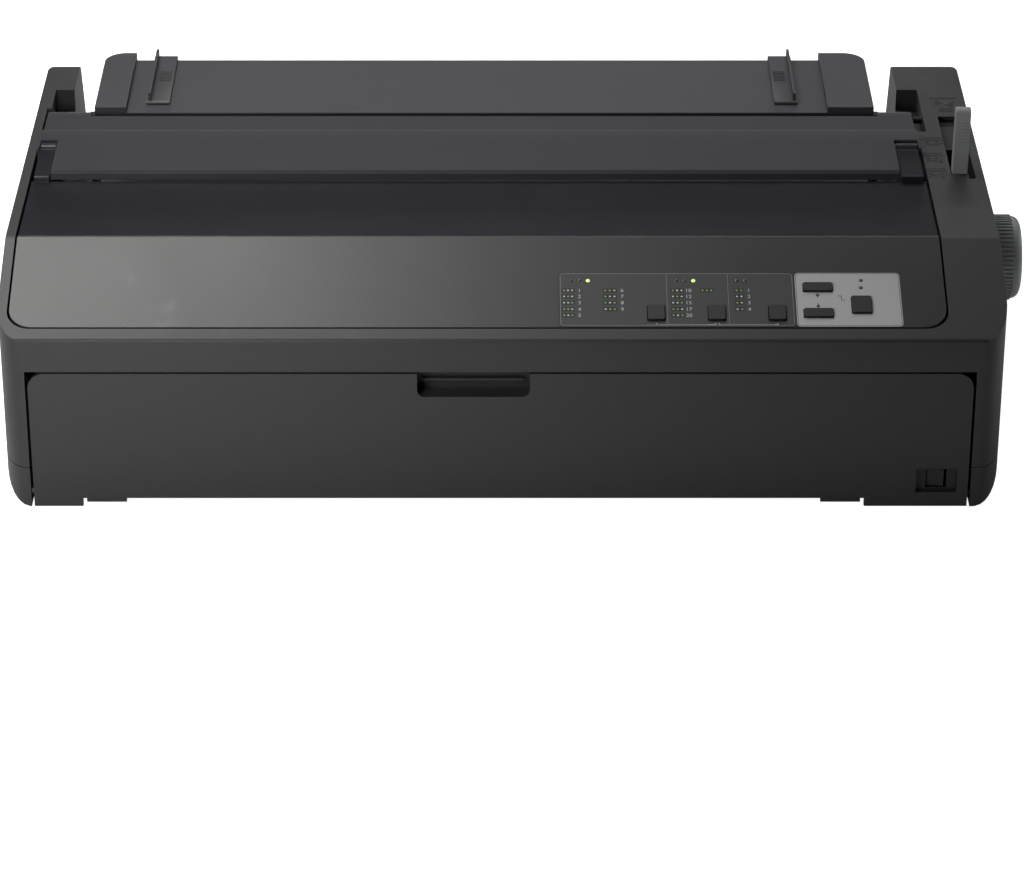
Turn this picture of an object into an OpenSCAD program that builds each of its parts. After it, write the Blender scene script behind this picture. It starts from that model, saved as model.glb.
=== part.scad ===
// Wide-carriage dot matrix printer with hinged covers, built from separate pieces.
// Millimetres. +Z up, the front faces -Y, the origin is under the middle of the whole printer.
// Inside the modules, x is measured from the middle of the case, y back from the front face.

/* [Case] */
// Width of the case without the knob
body_w = 552; // [540:1:600]
// Depth of the case at its foot
case_d = 350; // [345:1:380]
// Height of the flat top
case_h = 131; // [129:1:145]
// Height of the lip where the slanted face starts
lip_h = 104; // [100:1:108]
// Depth of the slanted face
bend_d = 75; // [72:1:80]
// Wall of the case mouldings
wall = 2.6; // [2:0.1:3]
// Height of the joint between lower and upper case
split_h = 26; // [24:1:30]
// Height of the rubber feet under the case
foot_h = 1.2; // [0.8:0.1:3]
// Radius of the rubber feet
foot_r = 9; // [6:0.5:12]
// Width of the case rim left of the covers
left_rim = 5.5; // [4.5:0.5:8]
// Width of the case top right of the covers
right_rim = 32.5; // [31:0.5:36]
// Gap around covers and fascia
cover_gap = 1.2; // [0.8:0.1:1.6]

/* [Covers] */
// Depth of the tinted printer cover
window_len = 73.3; // [68:0.5:78]
// Thickness of the tinted covers
cover_t = 2.8; // [2:0.1:3]
// Depth of the raised part of the sheet feeder cover
bar_len = 60; // [56:1:64]
// Rise of the sheet feeder cover above the case top
bar_rise = 5; // [4:0.5:7]
// Depth of the low strip behind the raised part
strip_len = 31; // [28:1:34]
// Radius of the printer cover hinge knuckles
knuckle_r = 4.6; // [4:0.1:5]
// Radius of the printer cover hinge pins
hinge_pin_r = 1.6; // [1.2:0.1:2]
// Width of the printer cover hinge knuckles
knuckle_w = 9; // [7:0.5:11]
// Width of the case left of the front cover
front_rim_l = 17; // [15:0.5:22]
// Width of the case right of the front cover
front_rim_r = 19; // [15:0.5:22]
// Height of the top edge of the front cover
front_cover_h = 83.6; // [80:0.2:84]
// Thickness of the front cover
front_cover_t = 2.4; // [2:0.1:2.6]
// Width of the finger notch in the front cover
notch_w = 61.5; // [50:0.5:80]
// Height of the finger notch
notch_h = 14; // [12:0.5:18]

/* [Paper guide] */
// Gap left of the paper guide
guide_gap_l = 14.3; // [12:0.1:20]
// Gap right of the paper guide
guide_gap_r = 15.5; // [12:0.1:20]
// Width of the left rib of the paper guide
guide_rib_l = 18.7; // [14:0.1:24]
// Width of the right rib of the paper guide
guide_rib_r = 27.5; // [20:0.1:32]
// Depth of the paper guide
guide_len = 84; // [78:1:86]
// Depth of the recess between the ribs of the paper guide
guide_recess = 3.6; // [3:0.1:5]
// Thickness of the paper guide panel
guide_t = 2.4; // [2:0.1:3]
// Width of each sliding edge guide
edge_guide_w = 14; // [10:1:20]

/* [Control panel] */
// Width of the dark panel plate
dark_panel_w = 128.5; // [126:0.5:129]
// Width of the grey panel plate
grey_panel_w = 57.8; // [57:0.1:62]
// Length of both panel plates up the slope
panel_len = 40.8; // [39:0.2:43]
// Thickness of the panel plates
panel_t = 1.2; // [0.8:0.1:1.6]
// Width of the three square buttons
item_w = 9.2; // [7:0.2:10]
// Length of the three square buttons
item_len = 10.8; // [8:0.2:12]
// Width of the two long buttons
bar_button_w = 15.8; // [12:0.2:17]
// Length of the two long buttons
bar_button_len = 6.2; // [5:0.2:8]
// Width of the pause button
pause_w = 10.6; // [8:0.2:12]
// Length of the pause button
pause_len = 12.4; // [10:0.2:14]
// Height of the buttons above the panel
button_proud = 1.5; // [1:0.1:2]
// Travel of the buttons
button_travel = 0.8; // [0.4:0.1:0.8]
// Radius of the indicator lenses
lens_r = 1.15; // [0.8:0.05:1.4]

/* [Platen and paper feed] */
// Radius of the platen
platen_r = 17; // [16:0.1:17]
// Radius of the platen core
platen_core_r = 8; // [6:0.5:10]
// Radius of the platen shaft ends
journal_r = 4; // [3:0.5:5]
// Gap between the left side frame and the platen
platen_gap_l = 16; // [12:0.5:20]
// Gap between the platen and the right side frame
platen_gap_r = 25; // [24:0.5:30]
// Distance from the front face to the platen axis
platen_d = 177; // [176:0.5:178]
// Height of the platen axis
platen_z = 70; // [69:0.5:71]
// Radius of the platen knob
knob_r = 25; // [20:0.5:28]
// Distance the knob stands out from the case
knob_out = 25.5; // [20:0.5:30]
// Ribs around the knob
knob_ribs = 60; // [30:1:80]
// Module of the gears
gear_m = 1; // [1]
// Teeth of the platen gear
platen_teeth = 40; // [38:2:42]
// Teeth of the small reduction gear
small_teeth = 14; // [12:1:16]
// Teeth of the large reduction gear
large_teeth = 36; // [30:1:38]
// Teeth of the motor pinion
pinion_teeth = 12; // [10:1:14]
// Radius of the belt pulley on the platen shaft
feed_pulley_r = 14; // [12:0.5:15]
// Radius of the belt pulley on the tractor shaft
tractor_pulley_r = 10; // [9:0.5:11]
// Thickness of the belts
belt_t = 1.2; // [0.8:0.1:1.6]
// Running gap between a belt and its pulley
belt_gap = 0.2; // [0.1:0.05:0.4]

/* [Tractors] */
// Distance between the two rows of paper holes
hole_rows = 365.1; // [330:0.1:370]
// Spacing of the paper holes
hole_pitch = 12.7; // [12.7]
// Pins on a sprocket wheel
sprocket_pins = 6; // [6]
// Side of the square tractor drive shaft
square_side = 8; // [6:0.5:8]
// Radius of the tractor support shaft
support_r = 4; // [3:0.5:4.5]
// Width of a tractor
tractor_w = 20; // [18:0.5:24]

/* [Carriage] */
// Radius of the carriage shaft
carriage_shaft_r = 6; // [5:0.5:7]
// Width of the carriage
carriage_w = 60; // [50:1:60]
// Radius of the carriage belt pulleys
belt_pulley_r = 7; // [6:0.5:7]
// Width of the carriage belt
carriage_belt_w = 5; // [4:0.5:6]
// Width of the print head
head_w = 36; // [28:1:40]
// Fins on the print head
head_fins = 7; // [5:1:9]

/* [Release lever] */
// Width of the release lever
lever_w = 8.5; // [6:0.5:9]
// Height of the lever tip above the case top
lever_tip = 40; // [30:1:45]
// Radius of the release shaft
release_shaft_r = 4; // [3:0.5:5]

/* [Fits] */
// Radial clearance of shafts, pins and bores
fit = 0.06; // [0.02:0.01:0.1]
// Gap between parts that move past each other
slack = 0.4; // [0.3:0.05:0.6]
// Thickness of the steel side frames
plate_t = 1.6; // [1.2:0.1:2]
// Height of the chassis floor above the table
chassis_z = 8; // [7:0.5:10]

/* [Hidden] */
$fn = 48;
half_w = body_w / 2;
body_x = -knob_out / 2;
front_y = -case_d / 2;
top_slope = atan((case_h - lip_h) / bend_d);
rear_top_d = case_d - 28;
rear_knee_z = 60;
case_bottom = foot_h;
eps = 0.01;

// Openings in the case top, between the shoulders
open_l = -half_w + left_rim;
open_r = half_w - right_rim;
cover_l = open_l + cover_gap;
cover_r = open_r - cover_gap;
rear_left_w = 19;
rear_right_w = 39.5;
rear_l = -half_w + rear_left_w;
rear_r = half_w - rear_right_w;
pocket_w = 11;
pocket_r = open_r + 5.2;
pocket_z = case_h - 13;
rim_len = 8.3;
rim_corner_r = 13;

// Steel side frames
frame_l = rear_l + 1.4;
frame_r = rear_r - 1.9;
in_l = frame_l + plate_t;
in_r = frame_r - plate_t;
mid_x = (in_l + in_r) / 2;

// Printer cover and sheet feeder cover, front to rear
window_d0 = bend_d + 1 + cover_gap;
window_d1 = window_d0 + window_len;
bar_d0 = window_d1 + 1.5;
bar_d1 = bar_d0 + bar_len;
strip_d1 = bar_d1 + strip_len;
wing_d1 = strip_d1 + 10;
pocket_d1 = wing_d1 + 29;
knuckle_at = [bar_d0 + 38, case_h + 0.5];
cheek_t = 1.2;
knuckle_l = [cover_l + cheek_t + slack, cover_l + cheek_t + slack + knuckle_w];
knuckle_rr = [cover_r - cheek_t - slack - knuckle_w - 4, cover_r - cheek_t - slack];
feeder_pin_at = [strip_d1 + 5, case_h - 5];
feeder_pin_r = 2;
feeder_barrel_r = 4.8;
feeder_pin_out = 3.6;
ear_w = 11;

// Front cover
foot_xs = [-half_w + 45, half_w - 45];
foot_ds = [48, case_d - 40];
front_l = -half_w + front_rim_l;
front_r = half_w - front_rim_r;
front_cover_w = front_r - front_l;
front_gap = 1.5;
front_corner_r = 9;
front_pin_at = [4, 9.5];
front_pin_r = 2;
skirt_z = case_bottom + 0.4;
slot_edge_z = 6.6;
slot_l = front_l + 27;
slot_r = front_r - 57;
notch_x = (front_l + front_r) / 2 - 14.8;
notch_depth = 11;

// Power switch
switch_x = front_r - 17.5;
switch_w = 21;
switch_z = [11, 24.3];
switch_gap = 0.8;
rocker_w = 9.6;
rocker_h = 10.4;
rocker_lean = 8;
rocker_d = front_cover_t + 5.3;
rocker_pin_r = 1.2;

// Control panel, on the slanted face: x, then distance up the slope
panel_s0 = 10.4;
dark_x0 = cover_r - 211.2;
grey_x0 = dark_x0 + dark_panel_w + 0.8;
panel_gap = 0.15;
item_xs = [for (x = [52.7, 85.8, 118.8]) dark_x0 + x];
item_s = panel_s0 + 10;
load_at = [grey_x0 + 12.4, panel_s0 + 29.5];
feed_at = [grey_x0 + 12, panel_s0 + 9.8];
pause_at = [grey_x0 + 35.8, panel_s0 + 16.1];
lens_s = panel_s0 + 34.9;
lens_dark = [for (x = [6.4, 11.1, 15.8, 64.2, 68.8, 73.7, 97.4, 102]) [dark_x0 + x, lens_s]];
lens_grey = [[grey_x0 + 36.4, lens_s + 0.2], [grey_x0 + 36.1, lens_s - 5.4]];
fascia_t = 2.6;
board_lift = -9;
board_t = 1.6;
flange = 1;
post_r = 3;
board_posts = concat([for (x = [dark_x0 + 4, (item_xs[0] + item_xs[1]) / 2, grey_x0 + 30]) [x, panel_s0 + 3]],
  [for (x = [dark_x0 + 26, dark_x0 + 84, grey_x0 + 30]) [x, panel_s0 + panel_len - 3]]);

// Paper feed, seen from the side: distance from the front, height
platen_at = [platen_d, platen_z];
platen_l = in_l + platen_gap_l;
platen_rr = in_r - platen_gap_r;
mesh_gap = 0.15;
small_dist = gear_m * (platen_teeth + small_teeth) / 2 + mesh_gap;
small_dir = 240;
reduction_at = platen_at + small_dist * [cos(small_dir), sin(small_dir)];
pinion_dist = gear_m * (large_teeth + pinion_teeth) / 2 + mesh_gap;
pinion_dir = -20;
motor_at = reduction_at + pinion_dist * [cos(pinion_dir), sin(pinion_dir)];
tractor_at = platen_at - [137, 14];
support_at = tractor_at + [2, -24];
release_at = platen_at + [35, 10];
arm_pivot = platen_at + [46, -27];
roller_r = 6;
roller_dir = -52;
roller_dist = platen_r + roller_r + 0.3;
roller_at = platen_at + roller_dist * [cos(roller_dir), sin(roller_dir)];
gear_t = 5;
stud_r = 3;
sprocket_r = hole_pitch * sprocket_pins / (2 * PI);
pin_r = 1.6;
paper_x = mid_x - 5.2;
layer_large = frame_r + 2.4;
layer_small = layer_large + gear_t;
layer_belt = layer_small + gear_t + 2;
belt_w = 5;

// Carriage
rod_at = platen_at - [45, 22];
rail_d = [platen_d - 97, platen_d - 85];
rail_z = platen_z - 26;
carriage_x = in_l + 48.8;
chute_d = tractor_at[0] + 20;
chute_z = platen_z - 36;
belt_d = platen_d - 73;
belt_z = platen_z - 22.5;
idler_x = in_l + 9;
drive_x = in_r - 24;
head_d = [rod_at[0] - 14, platen_d - platen_r - 2.2];
head_z = platen_z - 12;
ribbon_d = platen_d - platen_r - 1.4;

// Lever on the right shoulder
lever_x = half_w - 17.7;
well_x = [half_w - 18.5, half_w - 5];
well_d = [150, 242];
lever_d = 161;

// Electronics
board_z = 28;
rear_wall_d = case_d - 5;
board_d = [226, rear_wall_d - 4];
board_split = mid_x + 32.5;
supply_l = board_split + 38;
inlet_x = in_r - 52;
inlet_w = 48;
inlet_top = 62;
port_l = in_l + 59;
port_w = 56;
usb_l = in_l + 137;
usb_w = 13;
deck_z = 82;

// ---------- shared shapes ----------

module in_case() translate([body_x, front_y, 0]) children();

// A side profile of depth and height, stretched from x0 to x1
module along_x(x0, x1) translate([x0, 0, 0]) rotate([90, 0, 90]) linear_extrude(x1 - x0) children();

// A front profile of x and height, stretched from depth d0 to d1
module along_d(d0, d1) translate([0, d1, 0]) rotate([90, 0, 0]) linear_extrude(d1 - d0) children();

module block(x, d, z) translate([x[0], d[0], z[0]]) cube([x[1] - x[0], d[1] - d[0], z[1] - z[0]]);

module rod_x(x0, x1, at, r) translate([x0, at[0], at[1]]) rotate([0, 90, 0]) cylinder(h = x1 - x0, r = r);

module rounded(size, r) {
  translate([r, 0]) square([size[0] - 2 * r, size[1]]);
  translate([0, r]) square([size[0], size[1] - 2 * r]);
  for (x = [r, size[0] - r], y = [r, size[1] - r]) translate([x, y]) circle(r);
}

// x, distance up the slanted face, height off that face
module on_slope(x, s, lift = 0)
  translate([x, 0, lip_h]) rotate([top_slope, 0, 0]) translate([0, s, lift]) children();

function corner(c, rx, ry, start, n) =
  [for (i = [0:n]) c + [rx * cos(start + 90 * i / n), ry * sin(start + 90 * i / n)]];

// Points of a corner b between a and c, rounded by r
function turn(a, b, c, r, n = 6) =
  let (u = (a - b) / norm(a - b), v = (c - b) / norm(c - b),
       half = acos(max(-1, min(1, u * v))) / 2,
       m = (u + v) / norm(u + v), o = b + m * r / sin(half), p = b + u * r / tan(half) - o,
       q = b + v * r / tan(half) - o, a0 = atan2(p[1], p[0]), raw = atan2(q[1], q[0]) - a0,
       sweep = raw > 180 ? raw - 360 : raw < -180 ? raw + 360 : raw)
  [for (i = [0:n]) o + r * [cos(a0 + sweep * i / n), sin(a0 + sweep * i / n)]];

// ---------- the case mouldings ----------

corner_x = 14;
corner_d = 30;
rear_corner = 24;
fascia_bend_r = 4;
top_corner_r = 10;
bottom_corner = 18;

// Outline seen from above, drawn in by t
function plan(t) = concat(
  corner([half_w - corner_x, corner_d], corner_x - t, corner_d - t, 270, 9),
  corner([half_w - rear_corner, case_d - rear_corner], rear_corner - t, rear_corner - t, 0, 8),
  corner([-half_w + rear_corner, case_d - rear_corner], rear_corner - t, rear_corner - t, 90, 8),
  corner([-half_w + corner_x, corner_d], corner_x - t, corner_d - t, 180, 9));

// Outline seen from the side, drawn in by t
function side(t) = let (lip = [t, lip_h - t * 0.7], bend = [bend_d, case_h - t],
    top = [rear_top_d - t, case_h - t], knee = [case_d - t, rear_knee_z])
  concat([[t, -1]], turn([t, 0], lip, bend, 2.5), turn(lip, bend, top, 15), turn(bend, top, knee, 8),
    turn(top, knee, [case_d - t, 0], 40), [[case_d - t, -1]]);

module case_form(t) difference() {
  intersection() {
    along_x(-half_w + t, half_w - t) polygon(side(t));
    translate([0, 0, case_bottom]) linear_extrude(case_h) polygon(plan(t));
  }
  for (m = [0, 1]) mirror([m, 0, 0]) translate([half_w - t, rear_top_d - t, case_h - t])
    rotate([atan((case_d - rear_top_d) / (case_h - rear_knee_z)), 0, 0]) translate([0, 0, -100]) linear_extrude(140)
      difference() {
        translate([-top_corner_r, -top_corner_r]) square(top_corner_r + 5);
        translate([-top_corner_r, -top_corner_r]) circle(top_corner_r);
      }
}

module front_outline(t) polygon(concat(
  corner([half_w - bottom_corner, case_bottom + bottom_corner], bottom_corner - t, bottom_corner - t, 270, 8),
  [[half_w - t, case_h * 2], [-half_w + t, case_h * 2]],
  corner([-half_w + bottom_corner, case_bottom + bottom_corner], bottom_corner - t, bottom_corner - t, 180, 8)));

side_wall_l = front_l - front_gap;
side_wall_r = front_r + front_gap;
post_x = half_w - 7;
post_ds = [42, case_d - 50];

module lower_case() color([0.13, 0.13, 0.135]) in_case() {
  difference() {
    intersection() {
      union() {
        difference() {
          case_form(0);
          block([-half_w, half_w], [0, case_d], [split_h - 0.4, case_h]);
        }
        // Tongue that locates the upper case
        case_form(wall / 2);
      }
      along_d(-1, case_d + 1) front_outline(0);
      block([-half_w, half_w], [0, case_d], [0, split_h]);
    }
    difference() {
      intersection() {
        case_form(wall);
        along_d(-1, case_d + 1) front_outline(wall);
        block([-half_w, half_w], [0, case_d], [case_bottom + wall, case_h]);
      }
      for (x = [-post_x, post_x], d = post_ds)
        translate([x, d, 0]) cylinder(h = split_h, r = 5.5);
      for (x = [[side_wall_l - wall, side_wall_l], [side_wall_r, side_wall_r + wall]])
        block(x, [0, 16], [0, split_h]);
      for (x = [in_l + 8, mid_x, in_r - 14], d = [90, case_d - 70])
        block([x - 6, x + 6], [d - 6, d + 6], [0, chassis_z]);
      for (x = foot_xs, d = foot_ds)
        translate([x, d, 0]) cylinder(h = 7.5, r = foot_r * 0.7);
    }
    block([side_wall_l, side_wall_r], [-1, 16], [case_bottom - 1, split_h + 1]);
    block([slot_l, slot_r], [-1, 26], [case_bottom - 1, split_h + 1]);
    rod_x(side_wall_l - wall - 1, side_wall_r + wall + 1, front_pin_at, front_pin_r + fit);
    for (x = [-post_x, post_x], d = post_ds) translate([x, d, case_bottom - 1]) {
      cylinder(h = split_h, r = 1.5 + fit);
      cylinder(h = 5, r = 3.2);
    }
    for (x = foot_xs, d = foot_ds)
      translate([x, d, case_bottom - 1]) cylinder(h = 4, r = 3);
  }
}

// Opening of the case top ahead of the rear shoulders, seen from above
function top_opening(t) = concat(
  [[open_r - t, wing_d1 + 1], [open_l + t, wing_d1 + 1]],
  corner([open_l + rim_corner_r, rim_len + rim_corner_r], rim_corner_r - t, rim_corner_r - t, 180, 8),
  corner([open_r - rim_corner_r, rim_len + rim_corner_r], rim_corner_r - t, rim_corner_r - t, 270, 8));

module upper_case() color([0.16, 0.16, 0.165]) in_case() {
  difference() {
    union() {
      difference() {
        intersection() {
          case_form(0);
          block([-half_w, half_w], [0, case_d], [split_h, case_h]);
        }
        intersection() {
          case_form(wall);
          block([-half_w, half_w], [0, case_d], [0, case_h]);
        }
        block([side_wall_l, side_wall_r], [-1, 16], [split_h - 1, front_cover_h + cover_gap]);
      }
      intersection() {
        case_form(wall / 2);
        union() {
          for (x = [[side_wall_l - wall, side_wall_l], [side_wall_r, side_wall_r + wall]])
            block(x, [0, 16], [split_h, front_cover_h + 8]);
          block([open_r, open_r + 2.2], [60, wing_d1 + 2], [case_h - 31, case_h]);
          block([rear_l - 2.2, rear_l], [wing_d1 + 1, case_d], [split_h, case_h]);
          block([rear_r, rear_r + 2.2], [wing_d1 + 1, case_d], [split_h, case_h]);
          block([-half_w, rear_l], [wing_d1 + 1, wing_d1 + 3], [case_h - 31, case_h]);
          block([open_r, rear_r + eps], [wing_d1 + 1, wing_d1 + 3], [case_h - 31, case_h]);
          block([rear_r, open_r + 2.2], [wing_d1 + 1, wing_d1 + 3], [case_h - 31, case_h]);
          block([-half_w, open_l], [feeder_pin_at[0] - 7, wing_d1 + 2], [feeder_pin_at[1] - 6, case_h]);
          // Walls and floors of the pockets beside the sheet feeder cover
          block([rear_l - pocket_w - 2.2, rear_l], [wing_d1 + 1, pocket_d1 + 2], [pocket_z - 2, case_h]);
          block([open_r, pocket_r + 2.2], [strip_d1 - 25, pocket_d1 + 2], [pocket_z - 2, case_h]);
          block([rear_r, pocket_r + 2.2], [wing_d1 + 1, pocket_d1 + 2], [pocket_z - 2, case_h]);
          for (x = [-post_x, post_x], d = post_ds) translate([x, d, split_h]) cylinder(h = 34, r = 5);
        }
      }
    }
    translate([0, 0, front_cover_h + 3]) linear_extrude(case_h) polygon(top_opening(0));
    block([rear_l, rear_r], [wing_d1, case_d + 1], [split_h - 1, case_h + 1]);
    rod_x(open_l - feeder_pin_out - 0.5, open_l + 1, feeder_pin_at, feeder_pin_r + fit);
    rod_x(open_r - 1, pocket_r + 3, feeder_pin_at, feeder_pin_r + fit);
    rod_x(half_w - 8, half_w + 1, platen_at, 11.5);
    block(well_x, [well_d[0] + 9.5, well_d[1]], [case_h - wall - 1, case_h + 1]);
    block([well_x[1] - 3.8, well_x[1]], [well_d[0] + 3, well_d[1]], [case_h - wall - 1, case_h + 1]);
    block([rear_l - pocket_w, rear_l + 1], [wing_d1, pocket_d1], [pocket_z, case_h + 1]);
    block([rear_r - 1, pocket_r], [wing_d1, pocket_d1], [pocket_z, case_h + 1]);
    block([open_r - 1, pocket_r], [strip_d1 - 23, wing_d1 + 1], [pocket_z, case_h + 1]);
    for (x = [-post_x, post_x], d = post_ds) translate([x, d, split_h - 1]) cylinder(h = 16, r = 1.5 + fit);
  }
  // Sloping floor behind the lever, and the wall it hangs from
  along_x(well_x[0] - 1.5, well_x[1] - 4)
    polygon([[well_d[1] + 2, case_h - wall], [well_d[1] - 24, case_h - 11],
             [well_d[1] - 24, case_h - 12.8], [well_d[1] + 2, case_h - wall - 1.8]]);
  block([well_x[0] - 1.5, well_x[0]], well_d, [case_h - 14.8, case_h - wall + eps]);
}

deck_front = [strip_d1 - 3, platen_z - 12.5];

module rear_panel() color([0.12, 0.12, 0.125]) in_case() {
  difference() {
    union() {
      block([rear_l + 0.5, rear_r - 0.5], [rear_wall_d, rear_wall_d + wall], [split_h, deck_z]);
      along_x(in_l + slack, in_r - slack)
        polygon([deck_front, [rear_wall_d + eps, deck_z], [rear_wall_d + eps, deck_z - 2.4],
                 [deck_front[0], deck_front[1] - 2.2]]);
    }
    for (x = [[port_l - 1, port_l + port_w + 1], [usb_l - 1, usb_l + usb_w + 1]])
      block(x, [rear_wall_d - 1, case_d], [board_z + 0.6, board_z + 15.4]);
    block([inlet_x - inlet_w / 2, inlet_x + inlet_w / 2], [rear_wall_d - 1, case_d], [split_h - 1, inlet_top]);
  }
  // Ears that carry the paper guide
  for (x = [[guide_l - 3.6, guide_l - 0.6], [guide_rr + 0.6, guide_rr + 3.6]]) difference() {
    along_x(x[0], x[1]) polygon([[guide_pin_at[0] - 5, guide_pin_at[1] - 2], [guide_pin_at[0] - 3, case_h - 7.5],
      [guide_pin_at[0] + 3, case_h - 7.5], [guide_pin_at[0] + 5, guide_pin_at[1] - 2],
      [guide_pin_at[0] + 16, deck_at(guide_pin_at[0] + 16)], [guide_pin_at[0] - 12, deck_at(guide_pin_at[0] - 12)]]);
    rod_x(x[0] - 1, x[1] + 1, guide_pin_at, guide_pin_r + fit);
  }
}

function deck_at(d) = deck_front[1] - 1
  + (d - deck_front[0]) * (deck_z - deck_front[1]) / (rear_wall_d - deck_front[0]);

module fascia_form() intersection() {
  along_x(cover_l, cover_r) polygon(concat(
    [[0, lip_h], [0, lip_h - 12], [bend_d - 4, case_h - 14], [bend_d + 1, case_h - 14], [bend_d + 1, case_h]],
    turn([bend_d + 1, case_h], [bend_d, case_h], [0, lip_h], fascia_bend_r)));
  linear_extrude(case_h + 1) polygon(concat([[cover_r, bend_d + 1], [cover_l, bend_d + 1]],
    corner([cover_l + rim_corner_r, rim_len + cover_gap + rim_corner_r], rim_corner_r, rim_corner_r, 180, 8),
    corner([cover_r - rim_corner_r, rim_len + cover_gap + rim_corner_r], rim_corner_r, rim_corner_r, 270, 8)));
}

module button_holes(extra) {
  for (x = item_xs) on_slope(x, item_s, -6) linear_extrude(12) square([item_w + extra, item_len + extra], center = true);
  for (p = [load_at, feed_at]) on_slope(p[0], p[1], -6) linear_extrude(12)
    square([bar_button_w + extra, bar_button_len + extra], center = true);
  on_slope(pause_at[0], pause_at[1], -6) linear_extrude(12)
    square([pause_w + extra, pause_len + extra], center = true);
}

module lens_holes(r) for (p = concat(lens_dark, lens_grey)) on_slope(p[0], p[1], -8) cylinder(h = 14, r = r);

module panel_outline(x0, w, t, lift) on_slope(x0, panel_s0, lift) linear_extrude(t) rounded([w, panel_len], 2.5);

module front_fascia() color([0.2, 0.2, 0.205]) in_case() {
  difference() {
    union() {
      difference() {
        fascia_form();
        along_x(cover_l + fascia_t, cover_r - fascia_t)
          polygon([[rim_len + cover_gap + fascia_t, lip_h - 40],
            [rim_len + cover_gap + fascia_t, lip_h + (rim_len + cover_gap + fascia_t) * tan(top_slope) - fascia_t / cos(top_slope)],
            [bend_d, case_h - fascia_t / cos(top_slope)],
            [bend_d - 1.6, case_h - fascia_t / cos(top_slope)], [bend_d - 1.6, case_h - 40]]);
      }
      for (p = board_posts) on_slope(p[0], p[1], board_lift + board_t)
        cylinder(h = -board_lift - board_t - 1, r = post_r);
      // Ledge that the printer cover rests on
      block([cover_l + 20, cover_r - 20], [bend_d - 2, window_d0 + 8], [case_h - cover_t - 3.4, case_h - cover_t - 0.8]);
    }
    button_holes(0.8);
    lens_holes(lens_r + 0.1);
    panel_outline(dark_x0 - panel_gap, dark_panel_w + 2 * panel_gap, 5, -panel_t);
    panel_outline(grey_x0 - panel_gap, grey_panel_w + 2 * panel_gap, 5, -panel_t);
  }
}

module panel_plate(x0, w) difference() {
  panel_outline(x0, w, panel_t + 0.2, -panel_t);
  button_holes(0.8);
  lens_holes(lens_r + 0.1);
}

module dark_panel_plate() color([0.15, 0.15, 0.155]) in_case() panel_plate(dark_x0, dark_panel_w);

module grey_panel_plate() color([0.6, 0.6, 0.61]) in_case() panel_plate(grey_x0, grey_panel_w);

module indicator_lenses() color([0.75, 0.95, 0.4]) in_case()
  for (p = concat(lens_dark, lens_grey)) on_slope(p[0], p[1], board_lift + board_t)
    cylinder(h = 0.3 - board_lift - board_t, r = lens_r);

module button(at, w, len) {
  r = 1;
  on_slope(at[0], at[1]) {
    translate([-w / 2, -len / 2, -fascia_t - 0.5]) linear_extrude(fascia_t + 0.5 + button_proud) rounded([w, len], r);
    translate([-w / 2 - flange, -len / 2 - flange, -fascia_t - 1.5]) cube([w + 2 * flange, len + 2 * flange, 1.2]);
    translate([0, 0, -fascia_t - 2.1]) cylinder(h = 0.8, r = 1.6);
  }
}

module font_button() color([0.1, 0.1, 0.1]) in_case() button([item_xs[0], item_s], item_w, item_len);

module pitch_button() color([0.1, 0.1, 0.1]) in_case() button([item_xs[1], item_s], item_w, item_len);

module tear_off_button() color([0.1, 0.1, 0.1]) in_case() button([item_xs[2], item_s], item_w, item_len);

module load_button() color([0.1, 0.1, 0.1]) in_case() button(load_at, bar_button_w, bar_button_len);

module feed_button() color([0.1, 0.1, 0.1]) in_case() button(feed_at, bar_button_w, bar_button_len);

module pause_button() color([0.1, 0.1, 0.1]) in_case() button(pause_at, pause_w, pause_len);

switch_ats = concat([for (x = item_xs) [x, item_s]], [load_at, feed_at, pause_at]);

module panel_board() color([0.1, 0.3, 0.15]) in_case() {
  on_slope(dark_x0 - 3, panel_s0, board_lift)
    cube([grey_x0 + grey_panel_w + 3 - dark_x0 + 3, panel_len, board_t]);
  for (p = switch_ats) on_slope(p[0], p[1], board_lift + board_t) {
    translate([-3, -3, -eps]) cube([6, 6, 1.2]);
    cylinder(h = -board_lift - board_t - fascia_t - 2.1 - button_travel - 0.1, r = 1.7);
  }
}

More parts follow.
